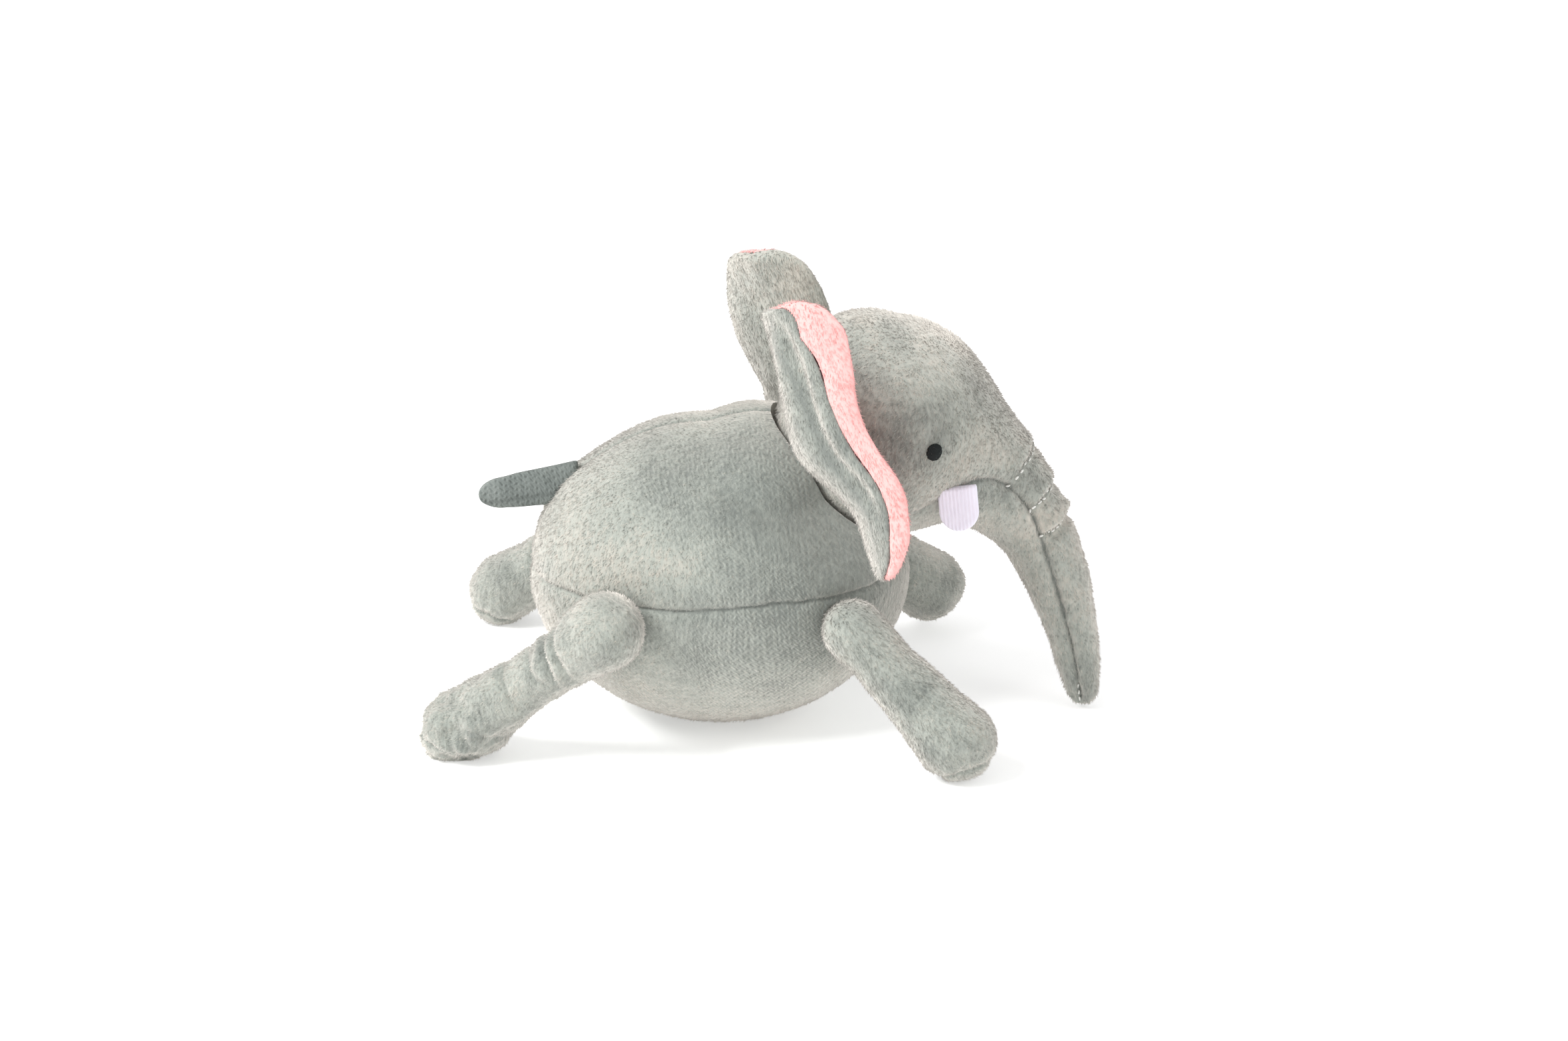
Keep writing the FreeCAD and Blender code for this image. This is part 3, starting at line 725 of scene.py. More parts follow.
def leg_form(stem, root, foot):
    """The leg's plain padded tube, from a string of beads."""
    root_radius, waist_radius, foot_radius, waist_place = LEG_SIZES[stem.split("_")[1]]
    length = np.linalg.norm(foot - root)
    run = (foot - root) / length
    waist = root + run * length * waist_place
    stations = [(*root, root_radius), (*waist, waist_radius), (*foot, foot_radius)]
    if stem in TOE_REACH:
        stations.append((*(foot + run * TOE_REACH[stem]), foot_radius - TOE_TAPER))
    beads = [(x, y, z, *[radius - LEG_SLACK] * 3) for x, y, z, radius in spline(stations, 1.5)]
    return beaded_form(f"{stem}_leg_cover", beads, LEG_VOXEL, smoothing=4)


print("toes that reach out", TOE_REACH)

# %% Leg covers
LEG_PUFF = 0.5
LUMPY_FOOT = "right_hind"
LEG_FOLDS = {  # where along the leg, how slanting, how strong
    "front": [(0.40, 0.5, 0.08)],
    "hind": [(0.24, 0.3, 1.0), (0.33, 0.5, 1.2), (0.41, -0.3, 0.5), (0.62, 0.3, 0.6)],
}


def leg_cover(stem, root, foot, seed):
    """One leg's cover: filled, with its sole's seam, its wrinkles and its dents."""
    pair = stem.split("_")[1]
    foot_radius = LEG_SIZES[pair][2]
    length = np.linalg.norm(foot - root)
    run = (foot - root) / length
    piece = leg_form(stem, root, foot)

    def places(points):
        """How far along the leg points are, and how much they face up."""
        offset = points - root
        along = offset @ run
        outward = offset - np.outer(along, run)
        outward /= np.maximum(np.linalg.norm(outward, axis=1), 1e-6)[:, None]
        return along, outward @ UP

    sole_way = run * 0.6 - UP * 0.8
    sole_way /= np.linalg.norm(sole_way)

    def past_sole(points):
        return (points - foot) @ sole_way - foot_radius + 4.2

    fill_cover(piece, LEG_PUFF, valley(past_sole(coordinates(piece)), 1.5))
    subdivide(piece)
    points = coordinates(piece)
    along, high = places(points)
    clear_of_root = smooth_step(along, 1, 8)
    # painted shade in the valley of the sole's seam
    crease = 0.5 * valley(past_sole(points) + 0.5 * noise(points / 4, seed), 0.6)
    depth = 1.2 * crease + 0.4 * valley(past_sole(points), 2.2)
    for share, slant, strength in LEG_FOLDS[pair]:
        bend = along - share * length + slant * 6 * high + 1.0 * noise(points / 6, seed + 3)
        mask = smooth_step(high, -0.75, 0.2) * strength
        fold = valley(bend, 0.9) + 0.5 * valley(bend, 2.8) - 0.5 * valley(bend - 2.8, 1.8)
        depth += fold * mask
        # painted shade down in each wrinkle
        crease = np.maximum(crease, 0.55 * valley(bend, 0.8) * mask)
    in_foot = smooth_step(along / length, 0.72, 0.95) * (stem == LUMPY_FOOT)
    depth += 1.5 * layered_noise(points / 6.5, seed + 6) * in_foot
    depth += 0.6 * layered_noise(points / 11, seed + 5) * clear_of_root
    depth += 0.35 * noise(points / 3.2, seed + 8) * smooth_step(past_sole(points), -6, 0)
    depth -= 0.10 * nap_relief(points, run, seed + 9)
    sink(piece, depth)
    points = coordinates(piece)
    points[:, 2] = np.maximum(points[:, 2], FLOOR_CLEAR)
    move_to(piece, points)
    # painted light: the leg is lighter on its upper side, where the lamps light it; the noise is its own
    # uneven tone
    tone = 0.15 + 0.15 * high + 0.24 * layered_noise(points / 10, seed + 7)
    finish_cover(piece, crease, tone, 0.25)
    return piece


leg_covers = {}
for count, (stem, ends) in enumerate(legs.items()):
    leg_covers[stem] = leg_cover(stem, *ends, 50 + 20 * count)

# %% [markdown]
# ## The ears
#
# An ear is two layers sewn together round the edge: plush behind and a pink lining in front. It is
# sewn to the head along a short line, and it curls forward from there like a cupped hand, so that
# its outer edge turns towards the face. The lining rolls a little over that edge. The ear is laid
# out flat first, as height and width, and each row of it is then bent round an arc.

# %% Sizes of the ears
EAR_HALF_HEIGHT = 40.5
EAR_WIDTH = 47
EAR_HALF_THICKNESS = 2.6
EAR_ROWS, EAR_RING = 92, 132
EAR_CHORD_TURN = {"right": -23.5, "left": 33}  # how far the blade is turned from straight out
EAR_BENDS = {  # its turn at the sewn edge, and how it curls on with each millimetre outward
    "right": (math.radians(-54), math.radians(2.62)),
    "left": (math.radians(-16), math.radians(0.8)),
}
EAR_INNER_ROUND = {"right": 0.95, "left": 0.75}  # how round the edge is towards the head
EAR_BLUNT = {"right": (3.6, 2.5), "left": (2.7, 2.2)}  # how square the top and the lower end are
EAR_FLARE = {"right": 6.0, "left": 0}  # how much the top widens
EAR_NECK = {"right": 0, "left": 11.0}  # how much the middle narrows
EAR_SWING = {"right": 6.5, "left": 0}  # how far the lower end swings forward
EAR_BACK_SAG = {"right": 4.0, "left": 0}  # how far the middle sags back
EAR_TOP_LIFT = {"right": (0.0, 3.2), "left": (8.0, 3.0)}  # lift of the top, near the head and all over
EAR_TOP_SHIFT = {"right": 0.0, "left": 7.5}  # how far the top leans forward
FOLDED_EAR = "right"  # the ear whose back has a fold
print("ears", EAR_WIDTH, "mm wide and", 2 * EAR_HALF_HEIGHT, "mm high")

# %% The curled surface of an ear
def ear_frame(side_name):
    """Where an ear is sewn on, and its directions: up its seam, outward and forward."""
    seat = joint_place(f"{side_name}_ear_fold")
    up = joint_axis(f"{side_name}_ear_fold")
    up = up * np.sign(up[2])
    normal = (seat - head_place) / np.linalg.norm(seat - head_place)
    side = SIDES[side_name]
    turn = Matrix.Rotation(math.radians(side * EAR_CHORD_TURN[side_name]), 3, Vector(up))
    outward = np.array(turn @ Vector(normal))
    return seat, up, outward, np.cross(outward, up) * side


def ear_surface(side_name, seed):
    """The closed surface of one ear as rows of points, and how high each row is."""
    seat, up, outward, forward = ear_frame(side_name)
    turn = np.linspace(0, math.pi, EAR_ROWS)
    turn[[0, -1]] = 0.0001, math.pi - 0.0001
    power = np.where(turn > math.pi / 2, *EAR_BLUNT[side_name])
    rise = -np.sign(np.cos(turn)) * np.abs(np.cos(turn)) ** (2 / power)
    half = np.sin(turn) ** (2 / power) * EAR_WIDTH / 2
    inner_half = np.sin(turn) ** EAR_INNER_ROUND[side_name] * EAR_WIDTH / 2
    middle = EAR_WIDTH / 2 - 0.4
    ring = np.linspace(0, 2 * math.pi, EAR_RING, endpoint=False)
    across = np.cos(ring)
    rise, across_grid = np.meshgrid(rise, across, indexing="ij")
    half = np.where(across_grid < 0, inner_half[:, None], half[:, None])
    front = np.sin(ring)[None, :]
    outer = smooth_step(across_grid, 0, 1)
    width = middle + across_grid * half
    width += EAR_FLARE[side_name] * outer * smooth_step(rise, 0.2, 0.75)
    width -= EAR_NECK[side_name] * outer * valley(rise + 0.1, 0.5)
    edge = 1 - np.abs(across_grid) ** 4
    fat = EAR_HALF_THICKNESS * np.minimum(1, half / 9) ** 0.7
    thick = fat * np.sign(front) * np.abs(front) ** 0.55 * (0.62 + 0.38 * edge)
    flat = np.column_stack([width.ravel(), rise.ravel() * EAR_HALF_HEIGHT, np.full(width.size, seed)])
    wave = (1.3 * noise(flat / 17, seed) + 0.5 * noise(flat / 7, seed + 2)).reshape(width.shape)
    wave *= smooth_step(width, 6, 30)
    crease_line = width - 34.5 + 2.5 * rise + 0.8 * noise(flat / 9, seed + 6).reshape(width.shape)
    fold = 2.2 * valley(crease_line, 2.2) - 0.9 * valley(crease_line + 6, 4)
    fold *= smooth_step(rise, -0.7, -0.2) * (1 - smooth_step(rise, 0.7, 0.95))
    fold *= side_name == FOLDED_EAR
    turn_in, curl = EAR_BENDS[side_name]
    heading = turn_in + curl * width
    out = (np.sin(heading) - math.sin(turn_in)) / curl
    ahead = (math.cos(turn_in) - np.cos(heading)) / curl
    ahead += EAR_SWING[side_name] * smooth_step(-rise, -0.15, 0.6) * smooth_step(width, 0, 9)
    ahead -= EAR_BACK_SAG[side_name] * valley(rise - 0.1, 0.45) * valley(width - 17, 11)
    shift = thick + wave + np.where(front < 0, fold, 0)
    out = out - np.sin(heading) * shift
    ahead = ahead + np.cos(heading) * shift
    height = rise * EAR_HALF_HEIGHT + 0.6 * noise(flat / 12, seed + 4).reshape(width.shape)
    inner_lift, lift = EAR_TOP_LIFT[side_name]
    near_top = smooth_step(rise, -0.1, 0.9)
    height += near_top * (lift + inner_lift * (1 - width / EAR_WIDTH))
    points = (seat + out[..., None] * outward + ahead[..., None] * forward + height[..., None] * up)
    points[..., 0] += EAR_TOP_SHIFT[side_name] * near_top
    return points, rise[:, 0]


# %% A strip of cloth with thickness
CLOTH_WALL = 0.9


def closed_strip(name, rows, inward):
    """A sheet of points given rows by columns, with a wall behind it, closed all round."""
    count, width = rows.shape[:2]
    inner = rows - inward * CLOTH_WALL
    shape = bmesh.new()
    outer_verts = [[shape.verts.new(point * MM) for point in row] for row in rows]
    inner_verts = [[shape.verts.new(point * MM) for point in row] for row in inner]
    for i in range(count - 1):
        for j in range(width - 1):
            a, b, c, d = (i, j), (i, j + 1), (i + 1, j + 1), (i + 1, j)
            shape.faces.new([outer_verts[p][q] for p, q in (a, b, c, d)])
            shape.faces.new([inner_verts[p][q] for p, q in (d, c, b, a)])
    border = [(0, j) for j in range(width)]
    border += [(i, width - 1) for i in range(1, count)]
    border += [(count - 1, j) for j in range(width - 2, -1, -1)]
    border += [(i, 0) for i in range(count - 2, 0, -1)]
    for (p, q), (r, t) in zip(border, border[1:] + border[:1]):
        shape.faces.new([outer_verts[r][t], outer_verts[p][q], inner_verts[p][q], inner_verts[r][t]])
    bmesh.ops.recalc_face_normals(shape, faces=shape.faces[:])
    return piece_of(name, shape)


# %% The two layers of an ear
EAR_ROLL = [  # how high on the ear, and how far the lining rolls over the outer edge there
    (-1, 0.28), (-0.75, 0.25), (-0.3, 0.225), (0.2, 0.24), (0.5, 0.28), (0.75, 0.32), (1, 0.26),
]
ROLL_SHARE = {"right": 1, "left": -0.3}
EAR_ROOT_WRAP = {"right": 0.0, "left": 0.16}  # how far the back wraps round the inner edge
LAYER_COLUMNS = 46


def outward_ways(points):
    """The outward direction at each point of an ear's closed surface."""
    centre = points.mean(axis=1, keepdims=True)
    along_ring = np.roll(points, -1, axis=1) - np.roll(points, 1, axis=1)
    along_rows = np.gradient(points, axis=0)
    ways = np.cross(along_ring, along_rows)
    ways /= np.maximum(np.linalg.norm(ways, axis=2), 1e-9)[..., None]
    return ways * np.sign(((points - centre) * ways).sum(axis=2).mean())


def part_of_ring(row, start, end):
    """A row's values between two angles round the edge, evenly spaced."""
    index = (np.linspace(start, end, LAYER_COLUMNS) / (2 * math.pi) * EAR_RING) % EAR_RING
    low = np.floor(index).astype(int)
    part = (index - low)[:, None]
    return row[low % EAR_RING] * (1 - part) + row[(low + 1) % EAR_RING] * part


roll_shares = [share for _, share in EAR_ROLL]
print("the lining rolls over by", min(roll_shares), "to", max(roll_shares), "of half a turn")

# %% Cutting out and finishing a layer
FOLD_COLUMN = 37
EAR_LIE = np.array([0.3, 0, -0.95])
EAR_BACK_TONE = {"right": -0.10, "left": 0.32}


def ear_layer(side_name, layer, points, ways, roll, seed):
    """One layer of an ear, cut from the closed surface along the seam round the edge."""
    is_back = layer == "ear_back"
    wrap = EAR_ROOT_WRAP[side_name]
    rows, row_ways = [], []
    for row, way, share in zip(points, ways, roll):
        start, end = -share * math.pi, (1 - wrap) * math.pi
        if is_back:
            start, end = (1 - wrap) * math.pi, (2 - share) * math.pi
        rows.append(part_of_ring(row, start, end))
        row_ways.append(part_of_ring(way, start, end))
    rows, row_ways = np.array(rows), np.array(row_ways)
    seam_column = LAYER_COLUMNS - 1 if is_back else 0
    edge = valley(np.abs(np.arange(LAYER_COLUMNS) - seam_column), 1.6)
    rows = rows - row_ways * (0.5 * edge)[:, None]
    piece = closed_strip(f"{side_name}_{layer}_cover", rows, row_ways)
    subdivide(piece)
    found = coordinates(piece)
    distance, _ = line_distance(found, rows[::3, seam_column])
    # painted shade along the seam round the ear's edge
    crease = 0.6 * valley(distance, 0.8)
    if is_back and side_name == FOLDED_EAR:
        distance, _ = line_distance(found, rows[18:-14:3, FOLD_COLUMN])
        # painted shade down in the fold of the ear's back
        crease = np.maximum(crease, 0.85 * valley(distance, 1.5))
    relief = 0.09 * nap_relief(found, EAR_LIE, seed + 20) - 0.25 * layered_noise(found / 9, seed + 22)
    raised = found + normals(piece) * relief[:, None]
    move_to(piece, keep_out_of(raised, head_place, HEAD_RADIUS + 0.3))
    if is_back:
        tone = EAR_BACK_TONE[side_name] + 0.2 * layered_noise(found / 12, seed + 24)
        # painted light: the back is lighter towards its top, where the lamps light it
        tone += 0.2 * smooth_step(found[:, 2], 90, 135)
    else:
        tone = 0.42 + 0.10 * layered_noise(found / 12, seed + 24)
    finish_cover(piece, crease, tone, 0.15)
    return piece


ears = {}
for count, side_name in enumerate(SIDES):
    seed = 200 + 40 * count
    points, rise = ear_surface(side_name, seed)
    ways = outward_ways(points)
    roll = ROLL_SHARE[side_name] * np.interp(rise, *zip(*EAR_ROLL))
    ears[side_name] = {layer: ear_layer(side_name, layer, points, ways, roll, seed)
                       for layer in ("ear_lining", "ear_back")}

# %% [markdown]
# ## The tail and the tusks
#
# The tail and the tusks are flat tabs with a round end: a tail of dark knit folded double, and
# tusks of ribbed felt. One helper lofts such a tab from rows, each a soft-cornered oval that
# narrows towards the tip.

# %% Tabs
TAB_ROWS, TAB_RING = 60, 96
BASE_ROUND = 1.2
RIB_HEIGHT = 0.16


def tab(name, root, run, wide, half_width, half_thickness, length, dents, ribs=None, taper=0.0):
    """A closed tab from root along run, with a round tip; wide is its half width's direction."""
    run, wide = np.array(run, float), np.array(wide, float)
    run /= np.linalg.norm(run)
    thick_way = np.cross(run, wide)
    place = (1 - np.cos(np.linspace(0, math.pi, TAB_ROWS))) / 2 * length
    place = np.clip(place, 0.01, length - 0.01)
    tip = np.clip((place - (length - half_width)) / half_width, 0, 1)
    base = np.clip((BASE_ROUND - place) / BASE_ROUND, 0, 1)
    width = half_width * (1 - taper * place / length) * np.sqrt(1 - tip ** 2)
    width *= 0.93 + 0.07 * np.sqrt(1 - base ** 2)
    thick = half_thickness * np.sqrt(1 - base ** 2) * np.minimum(1, (1 - tip ** 2) ** 0.5 * 2.2)
    ring = np.linspace(0, 2 * math.pi, TAB_RING, endpoint=False)
    across = np.cos(ring)
    through = np.sign(np.sin(ring)) * np.abs(np.sin(ring)) ** 0.6
    rows = (root + place[:, None, None] * run + (width[:, None] * across)[..., None] * wide
            + (thick[:, None] * through)[..., None] * thick_way)
    if ribs:
        swell = RIB_HEIGHT * np.cos(2 * math.pi * width[:, None] * across / ribs) * np.sin(ring)
        rows = rows + (swell * (thick[:, None] > 0.4))[..., None] * thick_way
    rows += dents * noise(rows.reshape(-1, 3) / 5, 301).reshape(rows.shape[:2])[..., None] * thick_way
    shape = bmesh.new()
    verts = [[shape.verts.new(point * MM) for point in row] for row in rows]
    for i, j in itertools.product(range(TAB_ROWS - 1), range(TAB_RING)):
        k = (j + 1) % TAB_RING
        shape.faces.new([verts[i][j], verts[i][k], verts[i + 1][k], verts[i + 1][j]])
    shape.faces.new(verts[0][::-1])
    shape.faces.new(verts[-1])
    bmesh.ops.recalc_face_normals(shape, faces=shape.faces[:])
    piece = piece_of(name, shape)
    apply_modifier(piece, "TRIANGULATE", min_vertices=5)
    return piece


# %% The tail
TAIL_DROOP = math.radians(9)
TAIL_HALF_WIDTH, TAIL_HALF_THICKNESS, TAIL_LENGTH = 6.6, 1.9, 31.3
TAIL_EDGE = 4.2  # how far from its middle the folded knit's edge line runs
tail_place = joint_place("tail_wag")
tail_run = np.array([-math.cos(TAIL_DROOP), 0, -math.sin(TAIL_DROOP)])
tail_wide = np.array([-math.sin(TAIL_DROOP), 0, math.cos(TAIL_DROOP)])
tail_root = tail_place - 5.0 * tail_run - 2.2 * UP
tail = tab("tail_tab", tail_root, tail_run, tail_wide, TAIL_HALF_WIDTH, TAIL_HALF_THICKNESS,
           TAIL_LENGTH, dents=0.5, taper=0.36)
points = coordinates(tail)
edge_line = np.abs((points - tail_place) @ tail_wide) - TAIL_EDGE
# painted shade along the folded knit's edge line
finish_cover(tail, 0.5 * valley(edge_line, 0.7), 0.45 + 0.3 * layered_noise(points / 8, 61), 1.0)

# %% The tusks
TUSK_ROOT = 24.1  # from the toy's middle out to where a tusk is sewn in
TUSK_HALF_WIDTH, TUSK_HALF_THICKNESS, TUSK_LENGTH = 5.9, 1.6, 13.6
TUSK_WIDE = np.array([0.985, 0, 0.0985])
FELT_RIB = 1.1

tusks = {}
for side_name, side in SIDES.items():
    low, high = span(f"{side_name}_tusk")
    centre = (low + high) / 2
    root = np.array([centre[0], side * TUSK_ROOT, high[2]])
    run = np.array([0.10, side * 0.10, -1])
    tusks[side_name] = tab(f"{side_name}_tusk_tab", root, run, TUSK_WIDE, TUSK_HALF_WIDTH,
                           TUSK_HALF_THICKNESS, TUSK_LENGTH, dents=0.25, ribs=FELT_RIB)
    points = coordinates(tusks[side_name])
    finish_cover(tusks[side_name], np.zeros(len(points)), 0.5 + 0.3 * noise(points / 4, 63))

# %% [markdown]
# ## Eyes and stitches
#
# An eye is a small round patch of satin stitch in black thread: a low dome of close, straight
# ridges. The tucks of the trunk are closed with short running stitches, and a few more show in
# the seam near the trunk's tip. A stitch is modelled once as a twisted bead, and then copied.

# %% Placing on the head
def skin_point(piece, origin, direction):
    """Where a line from origin first meets a cover, and the cover's normal there."""
    start = Vector(origin) * MM
    hit, place, normal, _ = piece.ray_cast(start, Vector(direction).normalized())
    return (np.array(place) / MM, np.array(normal)) if hit else (None, None)


def oval(name, place, facing, along, halves, subdivisions):
    """A closed oval at place; halves are along, across and through."""
    along = along - facing * (along @ facing)
    along = along / np.linalg.norm(along)
    across = np.cross(facing, along)
    turn = np.eye(4)
    turn[:3, 0], turn[:3, 1], turn[:3, 2] = along, across, facing
    turn[:3, 3] = place * MM
    shape = bmesh.new()
    size = Matrix.Diagonal((*(np.array(halves) * MM), 1))
    bmesh.ops.create_icosphere(shape, subdivisions=subdivisions, radius=1, matrix=Matrix(turn) @ size)
    return piece_of(name, shape)


# %% The eyes
EYE_HALVES = (2.55, 2.448, 1.0)
THREAD_PITCH = 0.42
THREAD_WAY = [0.5, 0, 0.85]
eyes = {}
for side_name, side in SIDES.items():
    low, high = span(f"{side_name}_eye")
    aim = (low + high) / 2 - head_place
    place, facing = skin_point(head, head_place, aim)
    eye = oval(f"{side_name}_eye_patch", place + 0.1 * facing, facing, UP, EYE_HALVES, 6)
    points = coordinates(eye)
    across = (points - place) @ np.cross(facing, THREAD_WAY)
    ridge = 0.09 * np.abs(np.cos(math.pi * across / THREAD_PITCH)) + 0.12 * noise(points / 0.9, 71)
    move_to(eye, points + normals(eye) * ridge[:, None])
    only(eye)
    bpy.ops.object.shade_smooth()
    eyes[side_name] = eye
    print(f"{side_name} eye at", place.round(1))

# %% Stitches over the tucks
STITCH_HALVES = (0.80, 0.34, 0.34)
STITCH_ANGLES = np.radians(np.arange(-66, 67, 8.8))
STITCH_LIFT = 0.75


def stitches(name, places):
    """One piece of many stitches, each given as (place, facing, along)."""
    parts = []
    for place, facing, along in places:
        parts.append(oval(f"{name}_part", place, facing, along, STITCH_HALVES, 2))
    bpy.ops.object.select_all(action="DESELECT")
    for part in parts:
        part.select_set(True)
    bpy.context.view_layer.objects.active = parts[0]
    bpy.ops.object.join()
    parts[0].name = name
    bpy.ops.object.shade_smooth()
    return parts[0]


rows_of_stitches = {}
for name, (place, run, _, _) in zip(("first", "second", "third"), TUCKS):
    axis = upright(run)
    over = upright((-run[1], run[0]))
    middle = upright(place) - over * 10 - axis * 0.2
    found = []
    for angle in STITCH_ANGLES:
        way = over * math.cos(angle) + np.array([0, 1, 0]) * math.sin(angle)
        spot, facing = skin_point(head, middle, way)
        if spot is not None:
            found.append((spot + STITCH_LIFT * facing, facing, np.cross(axis, way)))
    rows_of_stitches[name] = stitches(f"{name}_tuck_stitches", found)
    print(f"{name} tuck: {len(found)} stitches")

# %% Stitches near the trunk's tip
TIP_STITCH_WAY = np.array([0.18, 0, -0.98])
TIP_CLEAR = 3

tip_places = []
tip_line = spline(SIDE_SEAM, 0.6)[:, :3]
for side in SIDES.values():
    for x, _, z in tip_line[-9::4]:
        spot, facing = skin_point(head, (x, side * 40, z), (0, -side, 0))
        if spot is not None and z > TIP_CLEAR:
            tip_places.append((spot + 0.1 * facing, facing, TIP_STITCH_WAY))
tip_stitches = stitches("trunk_seam_stitches", tip_places)
print("stitches near the tip", len(tip_places))

# %% [markdown]
# ## The pile itself
#
# The covers so far are the cloth's ground. Real plush ends in a fringe of tuft tips, which softens
# every outline and breaks up the light. Each tuft is a sliver of four faces that stands in the
# cover and leans the way the pile lies. It is shaded with the cover's own normal, so that the
# slivers read as one soft surface. The tufts are shorter in the seams and where the knit shows.

# %% Roots of the tufts
def vertex_map(piece, name):
    """A number for each vertex, as it was stored on a piece."""
    values = np.empty(len(piece.data.vertices), np.float32)
    piece.data.attributes[name].data.foreach_get("value", values)
    return values


def scatter(cover, per_square_mm, chance, keep):
    """Random roots on a cover, with its normal, crease, tone and knit at each; keep drops roots."""
    mesh = cover.data
    mesh.calc_loop_triangles()
    corners = np.empty(len(mesh.loop_triangles) * 3, np.int32)
    mesh.loop_triangles.foreach_get("vertices", corners)
    corners = corners.reshape(-1, 3)
    points, ways = coordinates(cover), normals(cover)
    first, second, third = (points[corners[:, column]] for column in range(3))
    areas = np.linalg.norm(np.cross(second - first, third - first), axis=1) / 2
    face = chance.choice(len(areas), size=int(areas.sum() * per_square_mm), p=areas / areas.sum())
    u, v = chance.random((2, len(face)))
    folded = u + v > 1
    u[folded], v[folded] = 1 - u[folded], 1 - v[folded]
    share = np.column_stack([1 - u - v, u, v])

    def at_root(values):
        picked = values[corners[face]]
        return (picked * (share[..., None] if values.ndim > 1 else share)).sum(axis=1)

    found = [at_root(points), at_root(ways)]
    found += [at_root(vertex_map(cover, key)) for key in ("crease", "tone", "knit")]
    if keep is not None:
        kept = keep(found[0])
        found = [values[kept] for values in found]
    return found


print("tone of the torso, on average", vertex_map(torso, "tone").mean().round(2))

# %% Slivers as one mesh
TUFT_FACES = np.array([(0, 2, 1), (0, 1, 3), (1, 2, 3), (2, 0, 3)])
TUFT_UVS = np.array([(0.1, 0.1), (0.9, 0.1), (0.5, 0.5), (0.5, 0.9)])


def slivers(name, verts, soft):
    """One piece of many slivers, each of four points, shaded with a soft normal."""
    count = len(verts)
    a, b, c, d = verts[0]
    order = TUFT_FACES if np.dot(np.cross(b - a, c - a), d - a) > 0 else TUFT_FACES[:, ::-1]
    loops = (order[None] + 4 * np.arange(count)[:, None, None]).ravel()
    made = bpy.data.meshes.new(name)
    made.vertices.add(4 * count)
    made.vertices.foreach_set("co", (verts * MM).ravel())
    made.loops.add(len(loops))
    made.loops.foreach_set("vertex_index", loops.astype(np.int32))
    made.polygons.add(4 * count)
    made.polygons.foreach_set("loop_start", np.arange(0, len(loops), 3, dtype=np.int32))
    made.polygons.foreach_set("use_smooth", np.ones(4 * count, bool))
    made.update(calc_edges=True)
    made.normals_split_custom_set_from_vertices(np.repeat(soft, 4, axis=0))
    side_count = math.ceil(math.sqrt(count))
    cell = np.stack([np.arange(count) % side_count, np.arange(count) // side_count], axis=1)
    layer = made.uv_layers.new(name="OFBake")
    spots = (cell[:, None, None, :] + TUFT_UVS[order][None]) / side_count
    layer.data.foreach_set("uv", spots.astype(np.float32).ravel())
    return new_piece(name, made)


# %% Growing the pile
TUFT_LENGTH = 1.2
TUFT_HALF_WIDTH = 0.17
TUFT_SINK = 0.15
TUFT_FLOOR = 0.05


def unit(vectors):
    """The same directions, each one long."""
    return vectors / np.linalg.norm(vectors, axis=1)[:, None]


def unit_or_none(vectors):
    """The same directions, each one long, but nothing where a vector is nothing."""
    return vectors / np.maximum(np.linalg.norm(vectors, axis=1), 1e-6)[:, None]


def tufts_on(cover, name, per_square_mm, lie, seed, keep=None):
    """A field of tufts over a cover; lie gives each root the way its pile leans."""
    chance = np.random.default_rng(seed)
    root, normal, crease, tone, knit = scatter(cover, per_square_mm, chance, keep)
    count = len(root)
    lean = lie(root)
    lean = unit_or_none(lean - normal * (lean * normal).sum(axis=1)[:, None])
    stir = chance.normal(0, 1, (count, 3))
    clump = np.column_stack([noise(root / 4, seed + axis) for axis in range(3)])
    way = unit(normal * 0.50 + lean * 0.95 + stir * 0.20 + clump * 0.16)
    long = TUFT_LENGTH * (0.6 + 0.8 * chance.random(count)) * (1 - 0.65 * crease) * (1 - 0.5 * knit)
    side = unit_or_none(np.cross(normal, way))
    wide = (TUFT_HALF_WIDTH * (0.7 + 0.6 * chance.random(count)))[:, None]
    under = np.cross(way, side)
    ground = root - normal * TUFT_SINK
    tip = root + way * long[:, None]
    tip[:, 2] = np.maximum(tip[:, 2], TUFT_FLOOR)
    verts = np.stack([ground - side * wide, ground + side * wide, ground - under * wide, tip], axis=1)
    piece = slivers(name, verts, unit(normal + 0.08 * stir + 0.08 * way))
    lighter = tone + 0.24 * chance.normal(0, 1, count) + 0.08 * clump[:, 0]
    # painted light and shade: each tuft's tip is painted lighter as a rim highlight and its root darker as
    # shade among the tufts
    tips = np.column_stack([lighter - 0.12] * 3 + [lighter + 0.26])
    set_attribute(piece, "tone", np.clip(tips.ravel(), 0, 1))
    # the cover's painted shade in seams and hollows, carried onto its tufts
    set_attribute(piece, "crease", np.repeat(0.75 * crease, 4))
    print(f"{name}: {count} tufts")
    return piece


# %% Where each pile grows and which way it lies
JOINT_CLEAR = 1.1
OUTSIDE = 0.86


def leaning(*way):
    """Pile that leans the same way all over."""
    return lambda root: np.tile(np.array(way, float), (len(root), 1))


def outside_torso(root):
    """Roots that the torso doesn't cover."""
    return (((root - torso_place) / torso_halves) ** 2).sum(axis=1) > OUTSIDE


def outside_joints(root):
    """Roots on the torso that are clear of the hollows for the head and the legs."""
    clear = np.linalg.norm(root - head_place, axis=1) > HEAD_RADIUS + JOINT_CLEAR
    for stem, (centre, _) in legs.items():
        clear &= np.linalg.norm(root - centre, axis=1) > root_reach[stem] + JOINT_CLEAR
    return clear


